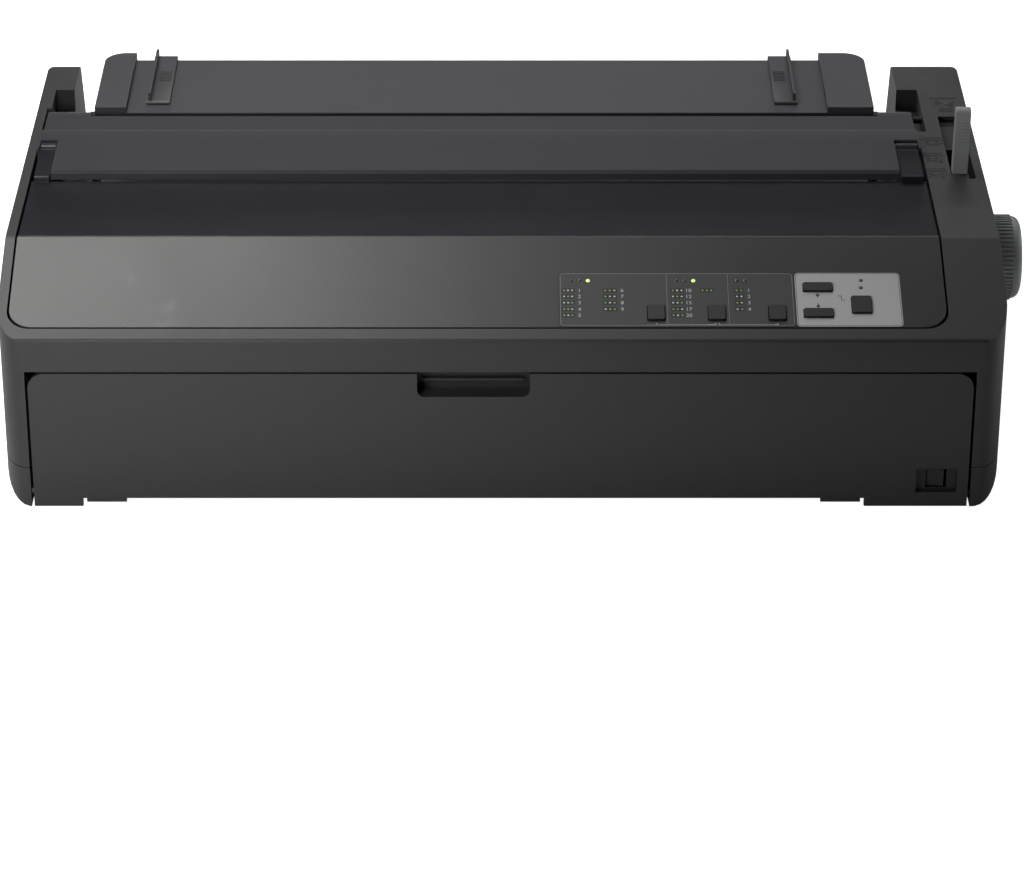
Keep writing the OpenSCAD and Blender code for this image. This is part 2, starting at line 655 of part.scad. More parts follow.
module front_cover() color([0.16, 0.16, 0.165]) in_case() {
  difference() {
    union() {
      along_d(0, front_cover_t) difference() {
        union() {
          translate([front_l, skirt_z]) square([front_cover_w, front_cover_h - skirt_z - front_corner_r]);
          translate([front_l, front_cover_h - 3 * front_corner_r])
            rounded([front_cover_w, 3 * front_corner_r], front_corner_r);
        }
        translate([slot_l, 0]) square([slot_r - slot_l, slot_edge_z]);
        translate([switch_x - switch_w / 2 - switch_gap, switch_z[0] - switch_gap])
          square([switch_w + 2 * switch_gap, switch_z[1] - switch_z[0] + 2 * switch_gap]);
        translate([notch_x - notch_w / 2, front_cover_h - notch_h]) rounded([notch_w, notch_h * 2], 4);
      }
      // Stiffening returns and the ears that carry the hinge pins
      for (x = [front_l + 1, front_r - 3]) block([x, x + 2], [front_cover_t - eps, 9], [16, front_cover_h - 10]);
      for (x = [front_l + 0.2, front_r - 5.2])
        block([x, x + 5], [0.4, 8], [front_pin_at[1] - 4, front_pin_at[1] + 4]);
      for (x = [[slot_l + 2, slot_l + 24], [slot_r - 24, slot_r - 2]])
        block(x, [1.2, 3.6], [case_bottom + 2.4, slot_edge_z + 2]);
      // Finger pocket behind the notch, with its lip
      difference() {
        block([notch_x - notch_w / 2 - 2, notch_x + notch_w / 2 + 2], [front_cover_t - eps, front_cover_t + notch_depth],
          [front_cover_h - notch_h - 2, front_cover_h - 2.6]);
        block([notch_x - notch_w / 2, notch_x + notch_w / 2], [0, front_cover_t + notch_depth - 1.8],
          [front_cover_h - notch_h, case_h]);
      }
      block([notch_x - notch_w / 2 + 3, notch_x + notch_w / 2 - 3], [front_cover_t + notch_depth - 4.4, front_cover_t + notch_depth - 1],
        [front_cover_h - notch_h + 5.4, front_cover_h - notch_h + 6.8]);
    }
  }
  rod_x(front_l - 3.2, front_l + 1, front_pin_at, front_pin_r);
  rod_x(front_r - 1, front_r + 3.2, front_pin_at, front_pin_r);
}

module switch_housing() color([0.07, 0.07, 0.07]) in_case() difference() {
  union() {
    block([switch_x - switch_w / 2 - switch_gap, switch_x + switch_w / 2 + switch_gap], [front_cover_t + 0.2, front_cover_t + 2],
      [switch_z[0] - switch_gap, switch_z[1] + switch_gap]);
    block([switch_x - switch_w / 2 + 1.4, switch_x + switch_w / 2 - 1.4], [front_cover_t + 1.8, 26], switch_z);
    block([switch_x - 6, switch_x + 6], [17, 26], [case_bottom + wall, switch_z[0] + 2]);
  }
  block([switch_x - rocker_w / 2 - 0.9, switch_x + rocker_w / 2 + 0.9], [-1, rocker_d + 3.4],
    [switch_mid - rocker_h / 2 - 0.4, switch_mid + rocker_h / 2 + 0.4]);
  translate([switch_x, rocker_d, switch_mid - rocker_h / 2 - 0.9]) cylinder(h = rocker_h + 1.8, r = rocker_pin_r + fit);
}

switch_mid = (switch_z[0] + switch_z[1]) / 2;

module power_rocker() color([0.12, 0.12, 0.12]) in_case() translate([switch_x, rocker_d, switch_mid - rocker_h / 2]) {
  rotate([0, 0, -rocker_lean]) linear_extrude(rocker_h)
    polygon([[-rocker_w / 2, -4.4], [0, -3.7], [rocker_w / 2, -4.4], [rocker_w / 2, 1], [0, 2.4], [-rocker_w / 2, 1]]);
  translate([0, 0, -0.7]) cylinder(h = rocker_h + 1.4, r = rocker_pin_r);
}

module rubber_feet() color([0.05, 0.05, 0.05]) in_case()
  for (x = foot_xs, d = foot_ds) translate([x, d, 0]) {
    cylinder(h = foot_h, r = foot_r);
    cylinder(h = foot_h + 3, r = 3 - fit);
  }

module case_screws() color([0.55, 0.55, 0.57]) in_case()
  for (x = [-post_x, post_x], d = post_ds) translate([x, d, case_bottom]) {
    translate([0, 0, 2.2]) cylinder(h = 1.8, r = 2.9);
    translate([0, 0, 3]) cylinder(h = split_h + 8, r = 1.5);
  }

// ---------- tinted covers ----------

module printer_cover() color([0.2, 0.2, 0.23, 0.7]) in_case() difference() {
  union() {
    block([cover_l, cover_r], [window_d0, window_d1], [case_h - 0.5 - cover_t, case_h - 0.5]);
    block([cover_l + 6, cover_r - 6], [window_d0 + 12, window_d0 + 14], [case_h - 0.5 - cover_t - 2, case_h - 1]);
    for (x = [knuckle_l, knuckle_rr]) {
      along_x(x[0], x[1]) polygon([[window_d1 - 6, case_h - 0.5 - cover_t], [window_d1 - 6, case_h - 0.5],
        [window_d1 - 3, case_h - 0.5], [window_d1 - 2.6, case_h + 3], [window_d1 - 1.8, case_h + 3.5], [knuckle_at[0], case_h + 3.5], [knuckle_at[0], case_h - 0.5 - cover_t]]);
      rod_x(x[0], x[1], knuckle_at, knuckle_r);
    }
  }
  rod_x(cover_l - 1, cover_r + 1, knuckle_at, hinge_pin_r + fit);
}

bar_t = 2.6;

function feeder_top() = concat([[bar_d0, case_h - 0.3], [bar_d0, case_h + bar_rise - 1.5], [bar_d0 + 2, case_h + bar_rise]],
  turn([bar_d0, case_h + bar_rise], [bar_d1, case_h + bar_rise], [bar_d1 + 3, case_h + 0.5], 4),
  [[bar_d1 + 3, case_h + 0.5], [strip_d1, case_h - 0.2]]);

module feeder_profile(d0) intersection() {
  polygon(concat(feeder_top(), [for (a = [90:-15:0]) feeder_pin_at + feeder_barrel_r * [cos(a), sin(a)]],
    [[feeder_pin_at[0] + feeder_barrel_r, feeder_pin_at[1] - 1], [strip_d1, case_h - bar_t], [bar_d1, case_h - bar_t + 0.4],
    [bar_d1 - 1.8, case_h + bar_rise - bar_t], [bar_d0 + bar_t, case_h + bar_rise - bar_t], [bar_d0 + bar_t, case_h - 0.3]]));
  translate([d0, 0]) square([wing_d1, case_h * 2]);
}

module sheet_feeder_cover() color([0.24, 0.24, 0.26]) in_case() {
  rear_of_knuckle = knuckle_at[0] + knuckle_r + 1.6;
  difference() {
    union() {
      along_x(knuckle_l[1] + slack, knuckle_rr[0] - slack) feeder_profile(0);
      along_x(cover_l, cover_r) feeder_profile(rear_of_knuckle);
      for (x = [[cover_l, cover_l + cheek_t], [cover_r - cheek_t, cover_r]])
        along_x(x[0], x[1]) polygon([[knuckle_at[0] - 6, case_h - 3], [knuckle_at[0] - 5, case_h + bar_rise],
          [rear_of_knuckle + 6, case_h + bar_rise], [rear_of_knuckle + 6, case_h - 3]]);
      for (x = [[knuckle_l[1] + slack, knuckle_l[1] + slack + 8], [knuckle_rr[0] - slack - 8, knuckle_rr[0] - slack]])
        along_x(x[0], x[1]) polygon([[knuckle_at[0] - 6, case_h - 4], [knuckle_at[0] - 6, case_h + bar_rise - 1],
          [knuckle_at[0] + 6, case_h + bar_rise - 1], [knuckle_at[0] + 6, case_h - 4]]);
      for (x = [[cover_l, cover_l + ear_w], [cover_r - ear_w, cover_r]])
        rod_x(x[0], x[1], feeder_pin_at, feeder_barrel_r - 0.01);
    }
    block([guide_l - 1, guide_rr + 1], [strip_d1, wing_d1 + 1], [case_h - 20, case_h + 10]);
  }
  rod_x(cover_l + 0.2, knuckle_l[1] + slack + 1, knuckle_at, hinge_pin_r);
  rod_x(knuckle_rr[0] - slack - 1, cover_r - 0.2, knuckle_at, hinge_pin_r);
  rod_x(cover_l - feeder_pin_out, cover_l + 1, feeder_pin_at, feeder_pin_r);
  rod_x(cover_r - 1, pocket_r + 1.8, feeder_pin_at, feeder_pin_r);
}

guide_l = rear_l + guide_gap_l;
guide_rr = rear_r - guide_gap_r;
guide_d0 = strip_d1 + 13;
guide_d1 = guide_d0 + guide_len;
guide_pin_at = [guide_d0 + 8, case_h - 12];
guide_pin_r = 2;

module paper_guide() color([0.2, 0.2, 0.205]) in_case() {
  panel_top = case_h - guide_recess;
  difference() {
    union() {
      block([guide_l + 4, guide_rr - 4], [guide_d0, guide_d1 - 3], [panel_top - guide_t, panel_top]);
      difference() {
        for (x = [[guide_l, guide_l + guide_rib_l], [guide_rr - guide_rib_r, guide_rr]])
          block(x, [guide_d0, guide_d1], [panel_top - guide_t, case_h]);
        for (x = [[guide_l + 2.4, guide_l + guide_rib_l - 2.4], [guide_rr - guide_rib_r + 2.4, guide_rr - 2.4]])
          block(x, [guide_d0 + 2.4, guide_d1 - 2.4], [0, case_h - 2.4]);
      }
      for (x = [[guide_l, guide_l + 4], [guide_rr - 4, guide_rr]])
        along_x(x[0], x[1]) polygon([[guide_d0, case_h - 4], [guide_pin_at[0] - 4, guide_pin_at[1] - 4],
          [guide_pin_at[0] + 4, guide_pin_at[1] - 4], [guide_pin_at[0] + 12, case_h - 4]]);
    }
    // Outer rear corners are rounded
    for (m = [0, 1]) translate([m == 0 ? guide_l : guide_rr, guide_d1, 0]) mirror([m, 0, 0]) difference() {
      translate([-1, -13, 0]) cube([14, 14, case_h + 1]);
      translate([13, -13, -1]) cylinder(h = case_h + 3, r = 13);
    }
  }
  rod_x(guide_l - 3.6, guide_l + 1, guide_pin_at, guide_pin_r);
  rod_x(guide_rr - 1, guide_rr + 3.6, guide_pin_at, guide_pin_r);
}

module edge_guide(x, face) {
  panel_top = case_h - guide_recess;
  rear = guide_d1 - 3;
  along_x(x - edge_guide_w / 2, x + edge_guide_w / 2) polygon([[guide_d0 + 12, panel_top + 0.3],
    [guide_d0 + 12, panel_top + 1.5], [guide_d0 + 13, panel_top + 2], [rear + 1.7, panel_top + 2],
    [rear + 1.7, panel_top - guide_t - 1.9], [rear - 8, panel_top - guide_t - 1.9],
    [rear - 8, panel_top - guide_t - 0.3], [rear + 0.3, panel_top - guide_t - 0.3], [rear + 0.3, panel_top + 0.3]]);
  block([x + face - 0.8, x + face + 0.8], [guide_d0 + 14, rear + 1.6], [panel_top + 1.5, panel_top + 6.6]);
}

module left_edge_guide() color([0.25, 0.25, 0.26]) in_case() edge_guide(guide_l + guide_rib_l + 18, -5);

module right_edge_guide() color([0.25, 0.25, 0.26]) in_case() edge_guide(guide_rr - guide_rib_r - 24, 5);

// ---------- chassis, electronics ----------

module chassis() color([0.6, 0.61, 0.62]) in_case() {
  block([in_l, in_r], [chute_d + 2, case_d - 15], [chassis_z, chassis_z + plate_t]);
  for (x = [in_l + 10, in_l + 130, board_split - 8], d = [232, board_d[1] - 15])
    translate([x, d, chassis_z]) cylinder(h = board_z - chassis_z, r = 3);
  for (x = [supply_l + 12, supply_l + 68, in_r - 15], d = [232, board_d[1] - 15])
    translate([x, d, chassis_z]) cylinder(h = board_z - chassis_z, r = 3);
  // Posts of the front chute and the idler
  translate([idler_x, belt_d, chassis_z]) cylinder(h = belt_z + 4 - chassis_z, r = 2.5);
  translate([idler_x, belt_d, chassis_z]) cylinder(h = belt_z - 4.4 - chassis_z, r = 5);
  for (x = [in_l + 49, in_r - 61]) block([x - 4, x + 4], [rail_d[1] + 1, rail_d[1] + 5], [chassis_z, chute_z - 2]);
}

module side_plate() difference() {
  polygon([[tractor_at[0] - 10, chassis_z], [tractor_at[0] - 10, 68], [tractor_at[0] + 12, 74], [rail_d[0] + 4, 108],
           [rail_d[1] + 16, 116], [platen_d + 59, 116], [platen_d + 73, 108],
           [case_d - 50, 104], [case_d - 50, chassis_z]]);
  translate(tractor_at) circle(journal_r + fit);
  translate(support_at) circle(support_r);
  translate(rod_at) circle(carriage_shaft_r);
  translate(platen_at) circle(journal_r + 4);
  translate(release_at) circle(release_shaft_r + fit);
  translate(arm_pivot) circle(3 + fit);
  translate([rail_d[0] - 10, chassis_z + 12]) square([80, 14]);
}

module left_side_frame() color([0.62, 0.63, 0.64]) in_case() {
  along_x(frame_l, in_l) side_plate();
}

module right_side_frame() color([0.62, 0.63, 0.64]) in_case() {
  along_x(in_r, frame_r) difference() {
    side_plate();
    translate(motor_at) circle(9);
  }
  rod_x(frame_r - 0.5, layer_small + gear_t + 1, reduction_at, stud_r);
}

module platen_bearings() color([0.75, 0.6, 0.3]) in_case()
  for (x = [[frame_l - 1.2, in_l + 2], [in_r - 2, frame_r + 1.2]]) difference() {
    union() {
      rod_x(x[0], x[1], platen_at, journal_r + 4);
      rod_x(x[0] < 0 ? in_l : in_r - 1, x[0] < 0 ? in_l + 1 : in_r, platen_at, journal_r + 6);
    }
    rod_x(x[0] - 1, x[1] + 1, platen_at, journal_r + fit);
  }

module carriage_shaft() color([0.8, 0.8, 0.82]) in_case() rod_x(frame_l, frame_r, rod_at, carriage_shaft_r);

module carriage_rail() color([0.65, 0.66, 0.67]) in_case() {
  block([in_l, in_r], rail_d, [rail_z, rail_z + 1.6]);
  block([in_l, in_r], [rail_d[0], rail_d[0] + 1.6], [rail_z, rail_z + 9]);
}

module front_chute() color([0.18, 0.18, 0.18]) in_case() along_x(in_l + 39, in_r - 49)
  polygon([[chute_d, chute_z + 16], [chute_d + 4, chute_z + 16], [rail_d[1], chute_z], [platen_d - 31, chute_z],
    [platen_d - 21, chute_z + 10], [platen_d - 19.5, chute_z + 8.8], [platen_d - 30, chute_z - 2],
    [rail_d[1] - 1, chute_z - 2], [chute_d + 2.5, chute_z + 14.2], [chute_d, chute_z + 14.2]]);

module platen_chute() color([0.18, 0.18, 0.18]) in_case() difference() {
  along_x(platen_l + 3, platen_rr - 3) polygon(concat(
    [for (a = [-146:8:-26]) platen_at + (platen_r + 1.6) * [cos(a), sin(a)]],
    [[platen_d + 30, platen_z - 10.5], [deck_front[0], deck_front[1] - 0.6], [deck_front[0], deck_front[1] - 2.1],
     [platen_d + 31, platen_z - 12.4]],
    [for (a = [-30:-8:-142]) platen_at + (platen_r + 3.1) * [cos(a), sin(a)]]));
  for (x = roller_xs) block([x - 20, x + 20], [roller_at[0] - 9, roller_at[0] + 9], [30, 62]);
}

roller_xs = [for (i = [-1.5:1:1.5]) mid_x - 4.5 + i * 104];

module main_board() color([0.1, 0.32, 0.16]) in_case() {
  block([in_l + 4, board_split], board_d, [board_z, board_z + 1.6]);
  block([port_l, port_l + port_w], [rear_wall_d - 16, rear_wall_d + 2], [board_z + 1, board_z + 15]);
  block([usb_l, usb_l + usb_w], [rear_wall_d - 15, rear_wall_d + 1], [board_z + 1, board_z + 13]);
  block([in_l + 104, in_l + 134], [262, 292], [board_z + 1, board_z + 5]);
  block([in_l + 164, in_l + 188], [250, 274], [board_z + 1, board_z + 4.4]);
  block([board_split - 70, board_split - 24], [280, 288], [board_z + 1, board_z + 14]);
  for (x = [in_l + 34, in_l + 49, board_split - 62, board_split - 44])
    translate([x, 246, board_z + 1]) cylinder(h = 13, r = 5);
}

module power_supply() color([0.55, 0.5, 0.3]) in_case() {
  block([supply_l, in_r - 4], board_d, [board_z, board_z + 1.6]);
  block([supply_l + 14, supply_l + 58], [250, 288], [board_z + 1, board_z + 24]);
  block([supply_l + 72, supply_l + 78], [236, 292], [board_z + 1, board_z + 22]);
  for (p = [[92, 262], [114, 262], [92, 284]]) translate([supply_l + p[0], p[1], board_z + 1]) cylinder(h = 19, r = 9);
  block([supply_l + 108, supply_l + 134], [rear_wall_d - 45, rear_wall_d - 24.4], [board_z + 1, board_z + 12]);
}

module power_inlet() color([0.06, 0.06, 0.06]) in_case() difference() {
  union() {
    block([inlet_x - 14.2, inlet_x + 14.2], [rear_wall_d - 20, rear_wall_d + 4], [31.4, 54.6]);
    block([inlet_x - 9, inlet_x + 9], [rear_wall_d - 24, rear_wall_d - 19], [36, 50]);
    // Flange that covers the notch in the rear panel
    block([inlet_x - inlet_w / 2 - 2, inlet_x + inlet_w / 2 + 2], [rear_wall_d + wall, rear_wall_d + wall + 1.4],
      [split_h + 0.4, inlet_top + 2]);
  }
  block([inlet_x - 11, inlet_x + 11], [rear_wall_d - 14, case_d + 1], [35, 51]);
}

module carriage_motor() color([0.3, 0.3, 0.31]) in_case() difference() {
  union() {
    translate([drive_x, belt_d, chassis_z + plate_t]) cylinder(h = 26, r = 20);
    translate([drive_x, belt_d, chassis_z + plate_t + 25]) cylinder(h = 5, r = 9);
  }
  translate([drive_x, belt_d, chassis_z + plate_t + 20]) cylinder(h = 30, r = 2.5 + fit);
}

module feed_motor() color([0.3, 0.3, 0.31]) in_case() difference() {
  union() {
    rod_x(in_r - 22, in_r, motor_at, 20);
    rod_x(in_r - 1, frame_r + 0.4, motor_at, 9);
  }
  rod_x(in_r - 8, frame_r + 2, motor_at, 2.5 + fit);
}

// ---------- gears, pulleys, belts ----------

// A gear outline with a tooth pointing at angle 0
function gear(teeth) = [for (i = [0:teeth - 1]) for (k = [[-0.3, -1.2], [-0.12, 0.85], [0.12, 0.85], [0.3, -1.2]])
  (teeth / 2 + k[1]) * gear_m * [cos(360 / teeth * (i + k[0])), sin(360 / teeth * (i + k[0]))]];

// The loop of a belt around two pulleys, seen along their axes
function belt_loop(a, ra, b, rb) = let (v = b - a, l = norm(v), base = atan2(v[1], v[0]), w = acos((ra - rb) / l), n = 16)
  concat([for (i = [0:n]) let (t = base + w + (360 - 2 * w) * i / n) a + ra * [cos(t), sin(t)]],
         [for (i = [0:n]) let (t = base - w + 2 * w * i / n) b + rb * [cos(t), sin(t)]]);

module belt(a, ra, b, rb) difference() {
  polygon(belt_loop(a, ra + belt_gap + belt_t, b, rb + belt_gap + belt_t));
  polygon(belt_loop(a, ra + belt_gap, b, rb + belt_gap));
}

module carriage_belt() color([0.08, 0.08, 0.08]) in_case() translate([0, 0, belt_z - carriage_belt_w / 2])
  linear_extrude(carriage_belt_w) belt([idler_x, belt_d], belt_pulley_r, [drive_x, belt_d], belt_pulley_r);

module feed_belt() color([0.08, 0.08, 0.08]) in_case() along_x(layer_belt + 0.4, layer_belt + belt_w - 0.4)
  belt(platen_at, feed_pulley_r, tractor_at, tractor_pulley_r);

module pulley() {
  cylinder(h = carriage_belt_w + 1, r = belt_pulley_r);
  translate([0, 0, -1]) cylinder(h = 1, r = belt_pulley_r + 1);
  translate([0, 0, carriage_belt_w + 1]) cylinder(h = 1, r = belt_pulley_r + 1);
}

module drive_pulley() color([0.75, 0.75, 0.76]) in_case() translate([drive_x, belt_d, belt_z - carriage_belt_w / 2 - 0.5]) {
  pulley();
  translate([0, 0, -14]) cylinder(h = 15, r = 2.5);
}

module idler_pulley() color([0.75, 0.75, 0.76]) in_case() difference() {
  translate([idler_x, belt_d, belt_z - carriage_belt_w / 2 - 0.5]) pulley();
  translate([idler_x, belt_d, 0]) cylinder(h = case_h, r = 2.5 + fit);
}

module platen_roller() color([0.06, 0.06, 0.06]) in_case() difference() {
  rod_x(platen_l, platen_rr, platen_at, platen_r);
  rod_x(platen_l - 1, platen_rr + 1, platen_at, platen_core_r);
}

module platen_shaft() color([0.75, 0.75, 0.77]) in_case() {
  rod_x(platen_l, platen_rr, platen_at, platen_core_r);
  rod_x(frame_l - 3, half_w + knob_out - 8, platen_at, journal_r);
}

module platen_gear() color([0.85, 0.85, 0.8]) in_case() difference() {
  union() {
    along_x(layer_small, layer_small + gear_t) translate(platen_at) rotate(small_dir) polygon(gear(platen_teeth));
    rod_x(layer_belt, layer_belt + belt_w, platen_at, feed_pulley_r);
    rod_x(layer_small + gear_t - eps, layer_belt, platen_at, feed_pulley_r + 1.5);
  }
  rod_x(layer_small - 1, layer_belt + belt_w + 1, platen_at, journal_r);
}

module reduction_gear() color([0.85, 0.85, 0.8]) in_case() difference() {
  union() {
    along_x(layer_large, layer_large + gear_t - 0.6)
      translate(reduction_at) rotate(pinion_dir + 180 / large_teeth) polygon(gear(large_teeth));
    along_x(layer_small - 0.6 - eps, layer_small + gear_t)
      translate(reduction_at) rotate(small_dir + 180 + 180 / small_teeth) polygon(gear(small_teeth));
  }
  rod_x(layer_large - 1, layer_small + gear_t + 1, reduction_at, stud_r + fit);
}

module feed_pinion() color([0.8, 0.65, 0.3]) in_case() {
  along_x(layer_large, layer_large + gear_t - 0.6)
    translate(motor_at) rotate(pinion_dir + 180) polygon(gear(pinion_teeth));
  rod_x(in_r - 6, layer_large + gear_t - 0.6, motor_at, 2.5);
}

knob_cap = 6.5;

module platen_knob() color([0.33, 0.34, 0.34]) in_case() {
  x0 = half_w + 1.2;
  x1 = half_w + knob_out;
  difference() {
    union() {
      along_x(x0, x1 - knob_cap) translate(platen_at) polygon([for (i = [0:4 * knob_ribs - 1])
        (knob_r - (i % 4 < 2 ? 0 : 0.8)) * [cos(90 * i / knob_ribs), sin(90 * i / knob_ribs)]]);
      translate([x1 - knob_cap, platen_at[0], platen_at[1]]) rotate([0, 90, 0]) rotate_extrude($fn = 96)
        polygon(concat([[0, 0], [knob_r - 0.9, 0]], corner([knob_r - 5.9, knob_cap - 5], 5, 5, 0, 8), [[0, knob_cap]]));
      rod_x(half_w - 10, x0 + 1, platen_at, 9);
    }
    rod_x(half_w - 11, half_w + knob_out - 8, platen_at, journal_r);
  }
}

// ---------- tractors ----------

module tractor_support_shaft() color([0.8, 0.8, 0.82]) in_case() rod_x(frame_l, frame_r, support_at, support_r);

module square_bar(x0, x1, side)
  translate([x0, tractor_at[0] - side / 2, tractor_at[1] - side / 2]) cube([x1 - x0, side, side]);

module tractor_drive_shaft() color([0.78, 0.78, 0.8]) in_case() {
  square_bar(in_l + 2, in_r - 2, square_side);
  rod_x(frame_l - 2, in_l + 3, tractor_at, journal_r);
  rod_x(in_r - 3, layer_belt + belt_w + 1, tractor_at, journal_r);
  rod_x(layer_belt, layer_belt + belt_w, tractor_at, tractor_pulley_r);
  rod_x(layer_belt - 1.2, layer_belt + eps, tractor_at, tractor_pulley_r + 1.5);
}

left_row = paper_x - hole_rows / 2;
right_row = paper_x + hole_rows / 2;
sprocket_w = tractor_w - 10;
door_at = [tractor_w / 2 + 3, tractor_at[1] + sprocket_r + 3];
door_pin_r = 1.2;

// One tractor with its outer side towards +x
module tractor_frame() {
  difference() {
    union() {
      along_x(sprocket_w / 2 + 0.6, tractor_w / 2) translate([tractor_at[0] - 14, support_at[1] - 7]) rounded([28, 45], 5);
      along_x(-tractor_w / 2, tractor_w / 2) translate([tractor_at[0] - 14, support_at[1] - 7]) rounded([28, 14.6], 3);
      for (d = [tractor_at[0] - 14, tractor_at[0] + 11])
        block([sprocket_w / 2 + 0.6, door_at[0] + 3], [d, d + 3], [door_at[1] - 3, door_at[1] + 3]);
    }
    rod_x(-tractor_w, tractor_w, support_at, support_r + fit);
    rod_x(0, tractor_w, tractor_at, 8 + fit);
    translate([door_at[0], tractor_at[0] + 15, door_at[1]]) rotate([90, 0, 0]) cylinder(h = 30, r = door_pin_r + fit);
  }
}

// The hinged door that holds the paper on the pins
module tractor_door() {
  difference() {
    union() {
      block([-sprocket_w / 2, door_at[0]], [tractor_at[0] - 10.6, tractor_at[0] + 10.6], [door_at[1] + 0.4, door_at[1] + 2]);
      translate([door_at[0], tractor_at[0] + 10.6, door_at[1]]) rotate([90, 0, 0]) cylinder(h = 21.2, r = 2);
    }
    block([-2.4, 2.4], [tractor_at[0] - 7, tractor_at[0] + 7], [0, case_h]);
  }
  translate([door_at[0], tractor_at[0] + 13.4, door_at[1]]) rotate([90, 0, 0]) cylinder(h = 26.8, r = door_pin_r);
}

module sprocket() difference() {
  union() {
    rod_x(-sprocket_w / 2, sprocket_w / 2, tractor_at, sprocket_r - 0.6);
    rod_x(sprocket_w / 2 - 1, tractor_w / 2 + 0.6, tractor_at, 8);
    for (i = [0:sprocket_pins - 1]) translate([0, tractor_at[0], tractor_at[1]]) rotate([30 + i * 360 / sprocket_pins, 0, 0])
      translate([0, 0, sprocket_r - 2]) cylinder(h = 4.4, r = pin_r);
  }
  square_bar(-tractor_w, tractor_w, square_side + 0.4);
}

module left_tractor() color([0.2, 0.2, 0.22]) in_case() translate([left_row, 0, 0]) mirror([1, 0, 0]) tractor_frame();

module right_tractor() color([0.2, 0.2, 0.22]) in_case() translate([right_row, 0, 0]) tractor_frame();

module left_tractor_door() color([0.85, 0.85, 0.8]) in_case() translate([left_row, 0, 0]) mirror([1, 0, 0]) tractor_door();

module right_tractor_door() color([0.85, 0.85, 0.8]) in_case() translate([right_row, 0, 0]) tractor_door();

module left_sprocket() color([0.85, 0.85, 0.8]) in_case() translate([left_row, 0, 0]) mirror([1, 0, 0]) sprocket();

module right_sprocket() color([0.85, 0.85, 0.8]) in_case() translate([right_row, 0, 0]) sprocket();

// ---------- carriage and ribbon ----------

module carriage() color([0.15, 0.15, 0.16]) in_case() difference() {
  union() {
    along_x(carriage_x - carriage_w / 2, carriage_x + carriage_w / 2) polygon([[rail_d[0] + 4, rail_z - 1.9],
      [rail_d[0] + 4, rail_z + 3.4], [rail_d[0] + 8, head_z], [rod_at[0] + 14, head_z], [rod_at[0] + 14, rod_at[1] - 9],
      [rod_at[0] - 14, rod_at[1] - 9], [rod_at[0] - 16, rail_z - 1.9]]);
  }
  rod_x(carriage_x - carriage_w, carriage_x + carriage_w, rod_at, carriage_shaft_r + fit);
  block([carriage_x - carriage_w, carriage_x + carriage_w], [rail_d[0], rail_d[1] + 0.4], [rail_z - 0.4, rail_z + 2]);
  block([carriage_x - carriage_w, carriage_x + carriage_w], [rail_d[1] + 1.4, belt_d + belt_pulley_r + belt_gap + belt_t + 0.4],
    [rail_z - 5, belt_z + carriage_belt_w / 2 + 2.4]);
}

module print_head() color([0.45, 0.46, 0.47]) in_case() {
  block([carriage_x - head_w / 2, carriage_x + head_w / 2], [head_d[0], head_d[1] - 9], [head_z, head_z + 26]);
  block([carriage_x - 8, carriage_x + 8], [head_d[1] - 9 - eps, head_d[1]], [platen_z - 9, platen_z + 9]);
  for (i = [0:head_fins - 1]) block([carriage_x - head_w / 2 + i * (head_w - 1.6) / (head_fins - 1),
    carriage_x - head_w / 2 + i * (head_w - 1.6) / (head_fins - 1) + 1.6], [head_d[0], head_d[1] - 12], [head_z + 26 - eps, head_z + 44]);
}

cart_z = [platen_z + 18, platen_z + 34];
cart_l = in_l + 5;
cart_r = in_r - 10;

module ribbon_cartridge() color([0.09, 0.09, 0.09]) in_case() {
  block([cart_l, cart_r], [rail_d[0] - 2, belt_d + 6], cart_z);
  for (x = [[cart_l, cart_l + 10], [cart_r - 12, cart_r]]) along_x(x[0], x[1])
    polygon([[belt_d - 4, cart_z[0]], [belt_d - 4, cart_z[1]], [head_d[0], cart_z[1] - 2], [ribbon_d + 0.4, platen_z + 12],
      [ribbon_d + 0.4, platen_z - 8], [ribbon_d - 8.6, platen_z - 8]]);
  // Inked ribbon stretched between the arms
  block([cart_l + 10 - eps, cart_r - 12 + eps], [ribbon_d, ribbon_d + 0.3], [platen_z - 6.5, platen_z + 6.5]);
  // Feet that hang it on the side frames
  block([in_l, cart_l + 1], [rail_d[1], belt_d], [cart_z[0] + 2, cart_z[0] + 6]);
  block([cart_r - 1, in_r], [rail_d[1], belt_d], [cart_z[0] + 2, cart_z[0] + 6]);
}

// ---------- release lever and pressure rollers ----------

module release_lever() color([0.35, 0.36, 0.36]) in_case() {
  x0 = lever_x;
  x1 = lever_x + lever_w;
  along_x(x0, x1) polygon(concat([[release_at[0] + 5, release_at[1] - 4], [release_at[0] - 4, release_at[1] - 6],
    [lever_d, case_h - 8], [lever_d - 0.5, case_h + 2]],
    turn([lever_d - 0.5, case_h], [lever_d - 3, case_h + lever_tip], [lever_d + 5, case_h + lever_tip], 3),
    turn([lever_d - 3, case_h + lever_tip], [lever_d + 5, case_h + lever_tip], [lever_d + 6, case_h], 3),
    [[lever_d + 8, case_h - 4], [release_at[0] + 6, release_at[1] + 5]]));
  rod_x(frame_l - 2, x1, release_at, release_shaft_r);
  rod_x(x0 - 3, x1, release_at, 8);
}

module pressure_rollers() color([0.1, 0.1, 0.1]) in_case() {
  for (x = roller_xs) rod_x(x - 18, x + 18, roller_at, roller_r);
  rod_x(roller_xs[0] - 30, roller_xs[3] + 30, roller_at, 2);
  for (x = [roller_xs[0] - 26, roller_xs[1] + 52, roller_xs[3] + 26]) along_x(x - 2, x + 2)
    polygon([roller_at + [-3, -3], roller_at + [-3, 0.4], roller_at + [1.5, 2.2], roller_at + [4, 1],
      arm_pivot + [4, 4], arm_pivot + [4, -4], arm_pivot + [-3, -4]]);
  rod_x(frame_l - 2, frame_r + 1, arm_pivot, 3);
}

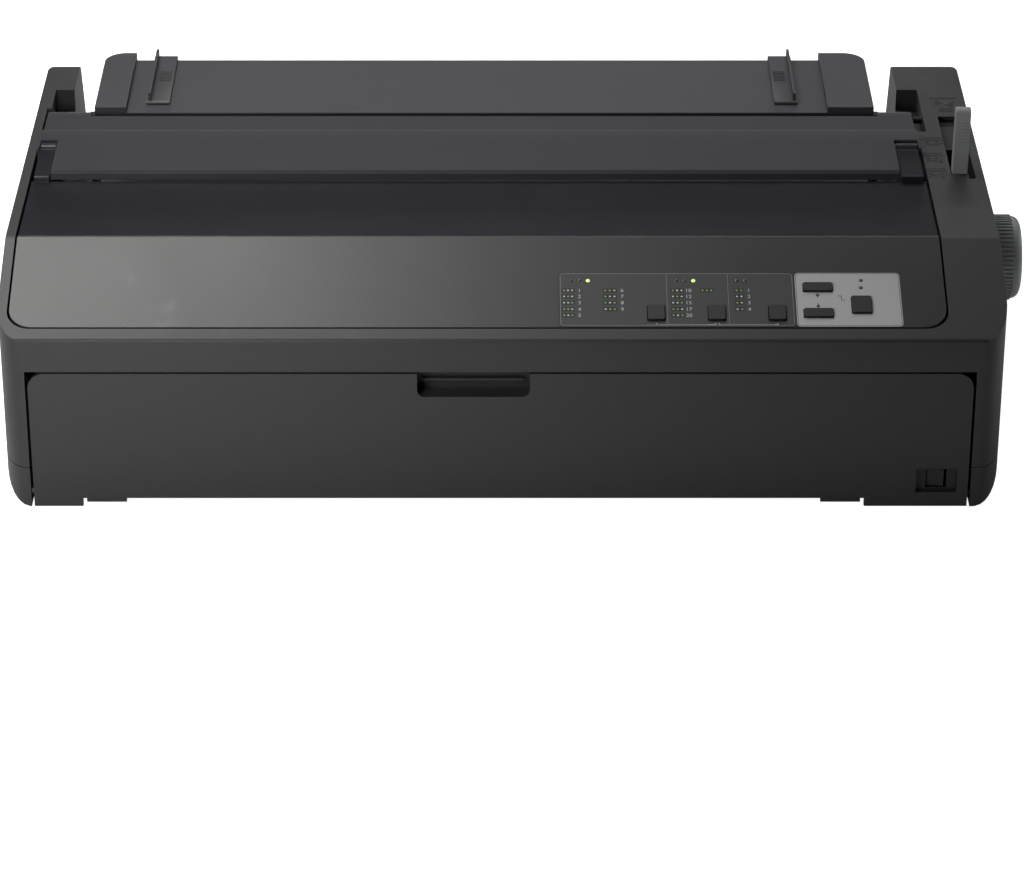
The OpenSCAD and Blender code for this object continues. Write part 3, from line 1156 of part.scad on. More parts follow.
lower_case();
upper_case();
rear_panel();
front_fascia();
dark_panel_plate();
grey_panel_plate();
indicator_lenses();
panel_board();
switch_housing();
rubber_feet();
case_screws();
power_inlet();
main_board();
power_supply();
chassis();
left_side_frame();
right_side_frame();
platen_bearings();
carriage_shaft();
carriage_rail();
front_chute();
platen_chute();
ribbon_cartridge();
carriage_belt();
carriage_motor();
feed_motor();
feed_belt();
tractor_support_shaft();
front_cover();
sheet_feeder_cover();
printer_cover();
paper_guide();
left_edge_guide();
right_edge_guide();
power_rocker();
font_button();
pitch_button();
tear_off_button();
load_button();
feed_button();
pause_button();
platen_roller();
platen_shaft();
platen_gear();
platen_knob();
reduction_gear();
feed_pinion();
tractor_drive_shaft();
left_tractor();
right_tractor();
left_tractor_door();
right_tractor_door();
left_sprocket();
right_sprocket();
carriage();
print_head();
drive_pulley();
idler_pulley();
release_lever();
pressure_rollers();
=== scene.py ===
import math

import bmesh
import bpy
from mathutils import Matrix, Vector


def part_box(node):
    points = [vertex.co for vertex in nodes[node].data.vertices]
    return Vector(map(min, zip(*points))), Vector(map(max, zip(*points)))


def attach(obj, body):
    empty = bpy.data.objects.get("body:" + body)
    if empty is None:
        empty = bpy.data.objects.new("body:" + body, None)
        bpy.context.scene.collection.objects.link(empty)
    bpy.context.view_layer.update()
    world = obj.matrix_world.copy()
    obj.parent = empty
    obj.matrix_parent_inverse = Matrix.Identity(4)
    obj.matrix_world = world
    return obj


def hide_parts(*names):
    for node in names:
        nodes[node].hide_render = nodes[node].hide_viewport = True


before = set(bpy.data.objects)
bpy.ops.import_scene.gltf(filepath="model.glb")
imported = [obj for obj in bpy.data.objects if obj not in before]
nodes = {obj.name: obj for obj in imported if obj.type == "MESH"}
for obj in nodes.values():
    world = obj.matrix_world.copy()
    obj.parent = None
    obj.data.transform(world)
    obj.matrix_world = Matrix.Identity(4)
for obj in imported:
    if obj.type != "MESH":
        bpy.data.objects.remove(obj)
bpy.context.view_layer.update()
scene = bpy.context.scene

# ---------------------------------------------------------------------------------------------------
# The room. The camera stands a little over two metres in front and looks down on the printer. The floor
# is white paper that runs up out of the view. The brightest lamps stand at the left, so the front darkens
# toward the right, and long thin lamps above and behind draw the bright lines along the bends.

scene.view_settings.view_transform = "Standard"

case_low, case_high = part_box("upper_case")
case_x = (case_low[0] + case_high[0]) / 2

# Fitted to the outlines in the photograph
eye_distance, eye_height, eye_tilt = 2.1238, 1.0810, 61.98
eye_lens, eye_shift = 141.4, 0.0093

eye = bpy.data.objects.new("camera", bpy.data.cameras.new("camera"))
scene.collection.objects.link(eye)
eye.location = (case_x, -eye_distance, eye_height)
eye.rotation_euler = (math.radians(eye_tilt), 0, 0)
eye.data.lens = eye_lens
eye.data.sensor_width = 36
eye.data.shift_x = eye_shift
eye.data.clip_start = 0.05
eye.data.clip_end = 50
scene.camera = eye


def lamp(name, place, aim, size, watts, tint):
    light = bpy.data.lights.new(name, "AREA")
    light.shape = "RECTANGLE"
    light.size, light.size_y = size
    light.energy = watts
    light.color = tint
    stand = bpy.data.objects.new(name, light)
    scene.collection.objects.link(stand)
    stand.location = place
    stand.visible_camera = False
    stand.rotation_euler = (Vector(aim) - Vector(place)).to_track_quat("-Z", "Y").to_euler()


lamp("lamp_left", (-0.48, 0.42, 1.30), (-0.30, -0.1, 0.1), (0.6, 0.4), 11.5, (1.0, 0.99, 0.97))
lamp("lamp_front", (-0.30, -0.58, 0.36), (-0.28, -0.17, 0.05), (0.25, 0.2), 2.9, (1.0, 1.0, 1.0))
lamp("lamp_over", (0.1, -0.30, 1.9), (0, 0, 0.1), (2.4, 0.08), 1.4, (1.0, 1.0, 1.0))
lamp("lamp_back", (0.35, 1.4, 1.45), (0.1, 0.15, 0.12), (1.6, 0.2), 6, (0.97, 0.98, 1.0))
lamp("lamp_rear", (0.0, 1.7, 0.26), (0.0, 0.17, 0.08), (1.2, 0.2), 2, (0.97, 0.98, 1.0))
lamp("lamp_side", (1.5, 0.45, 0.40), (0.28, 0, 0.07), (0.6, 0.5), 2.5, (1.0, 1.0, 1.0))

room_light = 0.035
floor_size = 6
paper_white = 0.86
paper_glow = 0.95

sky = bpy.data.worlds.new("room")
scene.world = sky
sky.use_nodes = True
sky.node_tree.nodes["Background"].inputs["Color"].default_value = (0.92, 0.95, 1.0, 1)
sky.node_tree.nodes["Background"].inputs["Strength"].default_value = room_light

sheet = bmesh.new()
bmesh.ops.create_grid(sheet, x_segments=1, y_segments=1, size=floor_size)
floor_mesh = bpy.data.meshes.new("floor")
sheet.to_mesh(floor_mesh)
sheet.free()
floor = bpy.data.objects.new("floor", floor_mesh)
scene.collection.objects.link(floor)
paper = bpy.data.materials.new("floor_paper")
paper.use_nodes = True
tree = paper.node_tree
tree.nodes.clear()
matte = tree.nodes.new("ShaderNodeBsdfDiffuse")
matte.inputs["Color"].default_value = (paper_white, paper_white, paper_white, 1)
glow = tree.nodes.new("ShaderNodeEmission")
seen = tree.nodes.new("ShaderNodeLightPath")
seen_or_through = tree.nodes.new("ShaderNodeMath")
seen_or_through.operation = "MAXIMUM"
tree.links.new(seen.outputs["Is Camera Ray"], seen_or_through.inputs[0])
tree.links.new(seen.outputs["Is Transmission Ray"], seen_or_through.inputs[1])
lift = tree.nodes.new("ShaderNodeMath")
lift.operation = "MULTIPLY"
lift.inputs[1].default_value = paper_glow
tree.links.new(seen_or_through.outputs[0], lift.inputs[0])
tree.links.new(lift.outputs[0], glow.inputs["Strength"])
both = tree.nodes.new("ShaderNodeAddShader")
tree.links.new(matte.outputs[0], both.inputs[0])
tree.links.new(glow.outputs[0], both.inputs[1])
end = tree.nodes.new("ShaderNodeOutputMaterial")
tree.links.new(both.outputs[0], end.inputs["Surface"])
floor_mesh.materials.append(paper)

# ---------------------------------------------------------------------------------------------------
# Four rubber feet, moulded discs whose stems are pressed up into the bottom of the case.
# The rubber is black and slightly dusty, with the fine bloom that such feet have.


class Tone:
    """A value that changes over a surface and that can be added, subtracted and multiplied."""

    def __init__(self, finish, socket):
        self.finish, self.socket = finish, socket

    def sum(self, how, other, turned=False):
        a, b = (other, self) if turned else (self, other)
        return self.finish.node("ShaderNodeMath", {"operation": how}, {0: a, 1: b})

    def __add__(self, other):
        return self.sum("ADD", other)

    def __radd__(self, other):
        return self.sum("ADD", other, True)

    def __sub__(self, other):
        return self.sum("SUBTRACT", other)

    def __rsub__(self, other):
        return self.sum("SUBTRACT", other, True)

    def __mul__(self, other):
        return self.sum("MULTIPLY", other)

    def __rmul__(self, other):
        return self.sum("MULTIPLY", other, True)


class Finish:
    """The look of one moulding, metal or print: a shader and what varies it over the surface."""

    def __init__(self, name, metal=0.0, gloss=0.5):
        self.mat = bpy.data.materials.new(name)
        self.mat.use_nodes = True
        self.tree = self.mat.node_tree
        self.shader = self.tree.nodes["Principled BSDF"]
        self.shader.inputs["Metallic"].default_value = metal
        self.shader.inputs["Specular IOR Level"].default_value = gloss
        self.place = self.node("ShaderNodeTexCoord", out="Object")

    def node(self, kind, settings=(), values=(), out=0):
        made = self.tree.nodes.new(kind)
        for key, value in dict(settings).items():
            setattr(made, key, value)
        for key, value in dict(values).items():
            self.put(made.inputs[key], value)
        return Tone(self, made.outputs[out])

    def put(self, socket, value):
        if isinstance(value, Tone):
            self.tree.links.new(value.socket, socket)
        elif isinstance(value, (tuple, list)) and len(value) == 3 and len(socket.default_value) == 4:
            socket.default_value = (*value, 1)
        else:
            socket.default_value = value

    def grain(self, size, detail=2.0, stretch=(1, 1, 1)):
        """Cloudy noise whose spots are about this many metres across."""
        where = self.place
        if stretch != (1, 1, 1):
            where = self.node("ShaderNodeMapping", {}, {"Vector": self.place, "Scale": stretch})
        return self.node("ShaderNodeTexNoise", {}, {"Vector": where, "Scale": 1 / size, "Detail": detail})

    def pits(self, size):
        """Small round cells, as a spark-eroded mould leaves them."""
        return self.node("ShaderNodeTexVoronoi", {}, {"Vector": self.place, "Scale": 1 / size})

    def bands(self, size, along):
        """Even ridges across one axis, this many metres apart. Blender's wave repeats after pi / 10."""
        return self.node("ShaderNodeTexWave", {"bands_direction": along},
                         {"Vector": self.place, "Scale": 0.314 / size})

    def curve(self, value, low, high):
        """0 below low, 1 above high and smooth between them."""
        return self.node("ShaderNodeMapRange", {"interpolation_type": "SMOOTHSTEP"},
                         {"Value": value, "From Min": low, "From Max": high})

    def mix(self, one, other, share):
        return self.node("ShaderNodeMix", {"data_type": "RGBA"}, {0: share, 6: one, 7: other}, out=2)

    def paint(self, colour):
        self.put(self.shader.inputs["Base Color"], colour)

    def shine(self, rough):
        self.put(self.shader.inputs["Roughness"], rough)

    def emboss(self, height, depth):
        bump = self.node("ShaderNodeBump", {}, {"Height": height, "Distance": depth})
        self.put(self.shader.inputs["Normal"], bump)


def shade(colour, by):
    return tuple(min(1, c * by) for c in colour)


def rubber(name, colour):
    f = Finish(name, gloss=0.3)
    bloom = f.grain(0.011, 5)
    f.paint(f.mix(colour, shade(colour, 2.2), f.curve(bloom, 0.35, 0.75) * 0.7))
    f.shine(0.72 + bloom * 0.15)
    f.emboss(f.grain(0.0004, 2), 0.00004)
    return f


sharp_turn = 32


def dress(node, finish, edge=0.0):
    """Gives a carried-over node its finish and, where edge is given, the small round of a real edge."""
    piece = nodes[node]
    piece.data.materials.clear()
    piece.data.materials.append(finish.mat)
    if edge:
        old = piece.data.attributes.get("custom_normal")
        if old:
            piece.data.attributes.remove(old)
        piece.data.polygons.foreach_set("use_smooth", [True] * len(piece.data.polygons))
        weld = piece.modifiers.new("weld", "WELD")
        weld.merge_threshold = 0.000004
        flats = piece.modifiers.new("flats", "DECIMATE")
        flats.decimate_type = "DISSOLVE"
        flats.angle_limit = math.radians(0.4)
        soft = piece.modifiers.new("edges", "BEVEL")
        soft.width = edge
        soft.segments = 2
        soft.limit_method = "ANGLE"
        soft.angle_limit = math.radians(sharp_turn)
        soft.harden_normals = True
        soft.use_clamp_overlap = True
    return piece


foot_rubber = rubber("foot_rubber", (0.018, 0.018, 0.018))
dress("rubber_feet", foot_rubber, 0.0003)

# ---------------------------------------------------------------------------------------------------
# The case: the bottom, the top and the rear panel, injected in black ABS. The moulds were spark-eroded,
# so the plastic has a fine even grain. Small raised pictures beside the lever show where the paper goes.


def moulding(name, colour, rough=0.45, gloss=0.5, grain=0.0007, depth=0.00003):
    f = Finish(name, gloss=gloss)
    fine = f.grain(grain, 2)
    drift = f.grain(0.12, 3)
    rubbed = f.curve(f.grain(0.02, 6), 0.6, 0.8)
    speck = f.curve(f.pits(grain * 1.6), 0.1, 0.7)
    f.paint(f.mix(shade(colour, 0.86), shade(colour, 1.18), drift * 0.5 + fine * 0.5 - speck * 0.1))
    f.shine(rough + (drift - 0.5) * 0.08 + fine * 0.06 - rubbed * 0.05)
    f.emboss(fine + speck * 0.5, depth)
    return f


case_plastic = moulding("case_plastic", (0.019, 0.019, 0.019), 0.46, 0.42)
dress("lower_case", case_plastic, 0.0004)
dress("upper_case", case_plastic, 0.0004)
dress("rear_panel", case_plastic, 0.0003)

# Millimetres from the middle of the case, from its front face and from the table
in_case = Matrix.Translation((case_x, case_low[1], 0)) @ Matrix.Scale(0.001, 4)


def round_edges(part, edge, steps):
    bmesh.ops.bevel(part, geom=part.edges[:], offset=edge, affect="EDGES", segments=steps, profile=0.5,
                    material=-1)


class Form:
    """A piece in the making: blocks, turned forms and cut sheets, all in millimetres."""

    def __init__(self, on=in_case):
        self.bm, self.on = bmesh.new(), on

    def add(self, part, place=None):
        bmesh.ops.remove_doubles(part, verts=part.verts, dist=0.0005)
        bmesh.ops.recalc_face_normals(part, faces=part.faces)
        bmesh.ops.transform(part, matrix=self.on @ place if place else self.on, verts=part.verts)
        loose = bpy.data.meshes.new("loose")
        part.to_mesh(loose)
        part.free()
        self.bm.from_mesh(loose)
        bpy.data.meshes.remove(loose)

    def block(self, x, d, z, edge=0.3, steps=2, place=None):
        part = bmesh.new()
        made = bmesh.ops.create_cube(part, size=1)["verts"]
        bmesh.ops.scale(part, vec=(x[1] - x[0], d[1] - d[0], z[1] - z[0]), verts=made)
        bmesh.ops.translate(part, vec=((x[0] + x[1]) / 2, (d[0] + d[1]) / 2, (z[0] + z[1]) / 2), verts=made)
        if edge:
            round_edges(part, edge, steps)
        self.add(part, place)

    def turned(self, outline, place, toward=(0, 0, 1), steps=32):
        """Spins an outline of radius and height about the line that leaves place toward a direction."""
        part = bmesh.new()
        row = [part.verts.new((r, 0, h)) for r, h in outline]
        for a, b in zip(row, row[1:]):
            part.edges.new((a, b))
        bmesh.ops.spin(part, geom=part.verts[:] + part.edges[:], cent=(0, 0, 0), axis=(0, 0, 1), dvec=(0, 0, 0),
                       angle=2 * math.pi, steps=steps, use_merge=True)
        turn = Vector(toward).to_track_quat("Z", "Y").to_matrix().to_4x4()
        self.add(part, Matrix.Translation(place) @ turn)

    def rod(self, a, b, r, edge=0.2, steps=24):
        way = Vector(b) - Vector(a)
        long = way.length
        self.turned([(0, 0), (r - edge, 0), (r, edge), (r, long - edge), (r - edge, long), (0, long)], a, way, steps)

    def cut(self, points, thick, place=None):
        """A flat outline given some thickness upward."""
        part = bmesh.new()
        face = part.faces.new([part.verts.new((x, y, 0)) for x, y in points])
        risen = bmesh.ops.extrude_face_region(part, geom=[face])["geom"]
        bmesh.ops.translate(part, vec=(0, 0, thick), verts=[v for v in risen if isinstance(v, bmesh.types.BMVert)])
        self.add(part, place)

    def piece(self, name, body, finish, slot, stands_for=()):
        mesh = bpy.data.meshes.new(name)
        self.bm.to_mesh(mesh)
        self.bm.free()
        mesh.polygons.foreach_set("use_smooth", [True] * len(mesh.polygons))
        mesh.set_sharp_from_angle(angle=math.radians(sharp_turn))
        mesh.materials.append(finish.mat)
        made = bpy.data.objects.new(name, mesh)
        scene.collection.objects.link(made)
        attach(made, body)
        if stands_for:
            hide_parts(*stands_for)
        return made


picture_z = 130.9
picture_tall = 0.28
bar_half = 0.3
ring_wide = 0.5


def picture(form, x, d, path, rollers=()):
    """A raised picture of a paper path: a bent line of small bars, and rollers as rings."""
    for (ax, ay), (bx, by) in zip(path, path[1:]):
        way = Vector((bx - ax, by - ay))
        turn = Matrix.Translation((x + ax, d + ay, picture_z)) @ Matrix.Rotation(math.atan2(way.y, way.x), 4, "Z")
        form.block([-bar_half, way.length + bar_half], [-bar_half, bar_half], [0, picture_tall], 0.1, 1, turn)
    for rx, ry, r in rollers:
        inner = r - ring_wide
        ring = [(inner, 0), (inner, picture_tall), (r, picture_tall), (r, 0), (inner, 0)]
        form.turned(ring, (x + rx, d + ry, picture_z), steps=20)


def tray(x0, y0, x1, y1):
    return [(x0, y0), (x1, y0), (x1, y1), (x0, y1), (x0, y0)]


marks = Form()
picture(marks, 243.8, 153.8, tray(0, 9.6, 11.2, 12.6))
picture(marks, 243.8, 153.8, [(0.6, 0.8), (3, 4.2), (5.2, 2.6), (8, 6), (10.8, 4)],
        [(2, 6.2, 1.4), (8.6, 1.6, 1.4)])
picture(marks, 244.2, 174.8, tray(0, 10.6, 11, 14))
picture(marks, 244.2, 174.8, [(0.4, 1), (3.4, 5), (6.2, 1.8), (10.6, 6.2)],
        [(2, 7.4, 1.4), (7, 6.8, 1.4), (9.4, 1.8, 1.3)])
picture(marks, 245.0, 197.6, tray(0, 10, 12.4, 13))
picture(marks, 245.0, 197.6, [(0.6, 1), (4, 4.6), (7.6, 2.2), (11.8, 6)], [(2.6, 7, 1.4), (8.6, 6.8, 1.4)])
picture(marks, 255.8, 248.8, [(0, 20.6), (15.4, 20.6)])
picture(marks, 255.8, 248.8, [(2, 10), (5, 13.4), (8.6, 10.6), (13.4, 14.6)],
        [(3.6, 15.4, 1.6), (11.4, 11, 1.6)])
picture(marks, 255.8, 248.8, tray(3.4, 1.2, 11.4, 4.6))
marks.piece("shoulder_pictures", "case", case_plastic, "case_dark")

# ---------------------------------------------------------------------------------------------------
# The case screws: plated pan heads with a cross recess, sunk in round wells in the bottom of the case.
# They pull the two halves together.


def ground_steel(name, colour, rough=0.2):
    f = Finish(name, metal=1.0)
    rings = f.grain(0.0006, 2, (1, 0.1, 0.1))
    film = f.grain(0.03, 4)
    f.paint(f.mix(shade(colour, 0.9), colour, film))
    f.shine(rough + rings * 0.08 + film * 0.06)
    f.emboss(rings, 0.000003)
    return f


bright = ground_steel("ground_steel", (0.62, 0.63, 0.65))
screw_out, screw_front, screw_rear = 269, 42, 300
screw_z = 3.4
shank_r, head_r, screw_long = 1.5, 2.9, 35.6
screws = Form()
for x in (-screw_out, screw_out):
    for d in (screw_front, screw_rear):
        screws.turned([(0, 1.3), (1.25, 1.3), (shank_r, 0.1), (2.3, 0), (head_r, 0.5), (head_r, 1.8),
                       (shank_r, 1.8), (shank_r, 33), (0.9, screw_long), (0, screw_long)], (x, d, screw_z))
        for turn in (0, 90):
            place = Matrix.Translation((x, d, screw_z - 0.02)) @ Matrix.Rotation(math.radians(turn), 4, "Z")
            screws.block([-1.9, 1.9], [-0.28, 0.28], [0.02, 0.5], 0.05, 1, place)
screws.piece("screw_heads", "case", bright, "screw_steel", ["case_screws"])

# ---------------------------------------------------------------------------------------------------
# The front fascia, the slanted moulding that carries the control panel, and the front cover, which hangs
# on two pins at its foot and drops forward. Both are black plastic, the fascia with the smoother grain.

fascia_plastic = moulding("fascia_plastic", (0.018, 0.018, 0.019), 0.38, 0.42, 0.0006, 0.000022)
dress("front_fascia", fascia_plastic, 0.0003)
dress("front_cover", case_plastic, 0.0004)

# ---------------------------------------------------------------------------------------------------
# The power switch: a black snap-in frame behind the front cover and a rocker with a line and a ring, both
# worn dark with use. It is moulded in hard black plastic.

button_plastic = moulding("button_plastic", (0.011, 0.011, 0.011), 0.42, 0.4, 0.0005, 0.00001)
dress("switch_housing", button_plastic, 0.0002)
dress("power_rocker", button_plastic, 0.0002)


def printed(name, colour):
    f = Finish(name, gloss=0.35)
    ink = f.grain(0.0003, 3)
    f.paint(f.mix(shade(colour, 0.8), colour, f.curve(ink, 0.3, 0.6)))
    f.shine(0.5 + ink * 0.15)
    return f


rocker_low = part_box("power_rocker")[0]
rocker_x, rocker_d, pin_long, rocker_lean = 239.5, 7.7, 0.7, -8
rocker_foot = rocker_low[2] * 1000 + pin_long
rocker_at = Matrix.Translation((rocker_x, rocker_d, rocker_foot)) @ Matrix.Rotation(math.radians(rocker_lean), 4, "Z")
rocker = Form(in_case @ rocker_at)
on_right_half = Matrix.Rotation(math.radians(-8.3), 4, "Z") @ Matrix.Translation((0.55, 0.33, 0))
rocker.block([2.5, 3.0], [-4.13, -3.95], [3.2, 7.2], 0.04, 1, on_right_half)
rocker.turned([(1.0, 0), (1.0, 0.12), (1.45, 0.12), (1.45, 0), (1.0, 0)], (-2.5, -4.01, 5.2), (0.144, -1, 0), 28)
rocker.piece("rocker_marks", "power_rocker", printed("worn_ink", (0.030, 0.030, 0.030)), "button_black")

# ---------------------------------------------------------------------------------------------------
# The control panel: a dark and a grey plate laid into the fascia, printed with thin outlines, dividers
# and tables of small coloured squares. Plain figures stand beside the tables.

# On the slanted face a place is given by x and by the way up the slope from the lip
lip_z, slope_rise, slope_run = 104, 27, 75
on_slope = in_case @ Matrix.Translation((0, 0, lip_z)) @ Matrix.Rotation(math.atan(slope_rise / slope_run), 4, "X")
panel_dark = moulding("panel_dark_print", (0.024, 0.024, 0.026), 0.5, 0.45, 0.0004, 0.00001)
panel_grey = moulding("panel_grey_print", (0.33, 0.33, 0.335), 0.5, 0.4, 0.0004, 0.00001)
dress("dark_panel_plate", panel_dark)
dress("grey_panel_plate", panel_grey)

ink_z = [0.19, 0.23]
line_ink = printed("grey_line_ink", (0.16, 0.16, 0.165))
lines = Form(on_slope)


def stroke(form, a, b, wide):
    way = Vector(b) - Vector(a)
    turn = Matrix.Translation((a[0], a[1], 0)) @ Matrix.Rotation(math.atan2(way.y, way.x), 4, "Z")
    form.block([-wide / 2, way.length + wide / 2], [-wide / 2, wide / 2], ink_z, 0, 1, turn)


def frame_line(form, x0, x1, s0, s1, r, wide):
    corners = []
    for cx, cy, start in ((x1 - r, s0 + r, -90), (x1 - r, s1 - r, 0), (x0 + r, s1 - r, 90), (x0 + r, s0 + r, 180)):
        for step in range(6):
            a = math.radians(start + 18 * step)
            corners.append((cx + r * math.cos(a), cy + r * math.sin(a)))
    for a, b in zip(corners, corners[1:] + corners[:1]):
        stroke(form, a, b, wide)


frame_s0, frame_s1, frame_r = 11.0, 50.6, 2.1
frame_line(lines, 31.7, 159.0, frame_s0, frame_s1, frame_r, 0.35)
for x in (90.0, 123.6):
    stroke(lines, (x, 12.2), (x, 50.4), 0.28)
for x0, x1 in ((78.5, 90), (90, 111.5), (116.5, 123), (123, 148)):
    stroke(lines, (x0, 11.9), (x1, 11.9), 0.3)
lines.piece("panel_lines", "case", line_ink, "panel_dark")

white_ink = printed("white_ink", (0.42, 0.42, 0.42))
brackets = Form(on_slope)
bracket_wide = 0.42
for x0, x1 in ((83.8, 116.0), (117.8, 149.9)):
    for a, b in (((x0, 12.9), (x0, 11.9)), ((x1, 12.9), (x1, 11.9)), ((x0, 11.9), (x1, 11.9))):
        stroke(brackets, a, b, bracket_wide)
brackets.piece("panel_brackets", "case", white_ink, "panel_dark")

black_ink = printed("black_ink", (0.010, 0.010, 0.010))
green_ink = printed("green_ink", (0.16, 0.34, 0.08))
pale_ink = printed("pale_ink", (0.50, 0.52, 0.50))
rows = (37.8, 33.2, 28.4, 23.5, 18.9)
# The middle of each table, the pitch and number of its dots, and the dots that are green in each row
tables = ((35.9, 2.2, 3, (1, 2, 4, 3, 5)), (58.8, 2.5, 3, (3, 1, 5, 6)), (95.7, 2.4, 3, (1, 2, 4, 3, 5)),
          (112.0, 2.4, 3, (7,)), (129.6, 2.5, 2, (3, 0, 1, 2)))
strips, greens, pales = Form(on_slope), Form(on_slope), Form(on_slope)
for middle, pitch, many, codes in tables:
    for s, code in zip(rows, codes):
        half = pitch * (many - 1) / 2 + 1.35
        strips.block([middle - half, middle + half], [s - 1.5, s + 1.5], [0.19, 0.215], 0)
        for place in range(many):
            x = middle + (place - (many - 1) / 2) * pitch
            dots = greens if code >> place & 1 else pales
            dots.turned([(0, 0.2), (0.62, 0.2), (0.58, 0.24), (0, 0.25)], (x, s, 0), steps=10)
strips.piece("table_strips", "case", black_ink, "panel_dark")
greens.piece("table_greens", "case", green_ink, "panel_dark")
pales.piece("table_whites", "case", pale_ink, "panel_dark")


def figures(form, words, x, s, tall):
    """Plain figures, set as thin flat print."""
    letters = bpy.data.curves.new("figures", "FONT")
    letters.body, letters.size, letters.extrude = words, tall, 0.02
    laid = bpy.data.objects.new("figures", letters)
    mesh = bpy.data.meshes.new_from_object(laid)
    part = bmesh.new()
    part.from_mesh(mesh)
    bmesh.ops.translate(part, vec=(x, s - tall * 0.34, 0.21), verts=part.verts)
    form.add(part)
    bpy.data.objects.remove(laid)
    bpy.data.curves.remove(letters)
    bpy.data.meshes.remove(mesh)


figure_tall = 3.6
numbers = Form(on_slope)
for row, s in enumerate(rows):
    figures(numbers, str(row + 1), 41.2, s, figure_tall)
    figures(numbers, ("10", "12", "15", "17", "20")[row], 100.0, s, figure_tall)
for row, s in enumerate(rows[:4]):
    figures(numbers, str(row + 6), 64.6, s, figure_tall)
    figures(numbers, str(row + 1), 134.0, s, figure_tall)
numbers.piece("panel_figures", "case", white_ink, "panel_dark")

arrow_x = 172.5
arrows = Form(on_slope)
for s, up in ((33.9, 1), (26.0, -1)):
    tip = [(arrow_x - 1.2, s), (arrow_x, s - up * 0.9), (arrow_x + 1.2, s), (arrow_x, s + up * 1.7)]
    arrows.cut(tip[::up], 0.05, Matrix.Translation((0, 0, ink_z[0])))
    stroke(arrows, (arrow_x, s - 0.2 * up), (arrow_x, s - 1.6 * up), 0.5)
crank = [(187.4, 30.4), (185.4, 30.4), (185.4, 33.6), (183.6, 33.6)]
for a, b in zip(crank, crank[1:]):
    stroke(arrows, a, b, 0.35)
frame_line(arrows, 161.0, 217.6, frame_s0, frame_s1, frame_r, 0.25)
arrows.piece("panel_arrows", "case", printed("dark_ink", (0.035, 0.035, 0.037)), "panel_grey")

# ---------------------------------------------------------------------------------------------------
# Ten indicator lenses: small domes of clear plastic over the lamps on the panel board. Two glow yellow
# green and eight are dark.


def lens(name, colour, lit=0.0):
    f = Finish(name, gloss=0.6)
    swirl = f.grain(0.0009, 2)
    f.paint(f.mix(shade(colour, 0.75), colour, swirl))
    f.shine(0.22 + swirl * 0.1)
    if lit:
        f.put(f.shader.inputs["Emission Color"], f.mix(shade(colour, 0.85), colour, swirl))
        f.shader.inputs["Emission Strength"].default_value = lit
    return f


dome = [(0, -7.2), (1.1, -7.2), (1.15, -7), (1.15, 0.1), (1.05, 0.32), (0.75, 0.52), (0.4, 0.6), (0, 0.62)]
lens_row = 45.3
lit_at = (46.9, 104.8)
lit_domes, dark_domes = Form(on_slope), Form(on_slope)
for x in (37.5, 42.2, 46.9, 95.3, 99.9, 104.8, 128.5, 133.1):
    (lit_domes if x in lit_at else dark_domes).turned(dome, (x, lens_row, 0), steps=20)
for x, s in ((196.8, 45.5), (196.5, 39.9)):
    dark_domes.turned(dome, (x, s, 0), steps=20)
lit_domes.piece("lit_lenses", "case", lens("lit_lens", (0.62, 0.95, 0.26), 0.8), "lens_green", ["indicator_lenses"])
dark_domes.piece("dark_lenses", "case", lens("dark_lens", (0.050, 0.054, 0.050)), "lens_green", ["indicator_lenses"])

# ---------------------------------------------------------------------------------------------------
# Six push buttons, black moulded caps with softly rounded edges that run in holes in the fascia.

for name in ("font", "pitch", "tear_off", "load", "feed", "pause"):
    dress(name + "_button", button_plastic, 0.0004)

# ---------------------------------------------------------------------------------------------------
# The tinted covers: a smoke grey window over the print head, and the darker sheet feeder cover behind it
# that carries its hinge. Both are polished polycarbonate.


def smoked(name, colour, clear, rough):
    f = Finish(name, gloss=0.2)
    haze = f.grain(0.02, 4)
    fine = f.grain(0.0012, 2)
    f.paint(f.mix(shade(colour, 0.9), shade(colour, 1.12), haze))
    f.shine(rough + haze * 0.06 + fine * 0.03)
    f.shader.inputs["Alpha"].default_value = 1 - clear
    f.emboss(fine, 0.000008)
    return f


window_tint = smoked("window_tint", (0.014, 0.013, 0.018), 0.06, 0.25)
cover_tint = smoked("cover_tint", (0.032, 0.031, 0.038), 0.0, 0.36)
dress("printer_cover", window_tint, 0.0004)
dress("sheet_feeder_cover", cover_tint, 0.0005)

# ---------------------------------------------------------------------------------------------------
# The paper guide, a recessed panel between two ribs that folds up at the rear, and its two sliding edge
# guides with ribbed grips.

guide_plastic = moulding("guide_plastic", (0.036, 0.036, 0.040), 0.42, 0.5, 0.0006, 0.00002)
dress("paper_guide", guide_plastic, 0.0004)
grip_d, grip_step, grip_z = 300, 2.2, [129.2, 129.75]
for side in ("left", "right"):
    name = side + "_edge_guide"
    dress(name, guide_plastic, 0.0003)
    low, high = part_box(name)
    x0, x1 = ((v - case_x) * 1000 for v in (low[0], high[0]))
    grip_x = (x0 + 5.5, x1 - 1.5) if side == "left" else (x0 + 1.5, x1 - 5.5)
    grip = Form()
    for i in range(7):
        grip.block(grip_x, [grip_d + i * grip_step, grip_d + 1 + i * grip_step], grip_z, 0.2, 1)
    grip.piece(side + "_guide_grip", name, guide_plastic, "fascia_grey")

# ---------------------------------------------------------------------------------------------------
# The platen knob: a grey moulding with sixty fine ribs and a dished end, pushed onto the platen shaft.

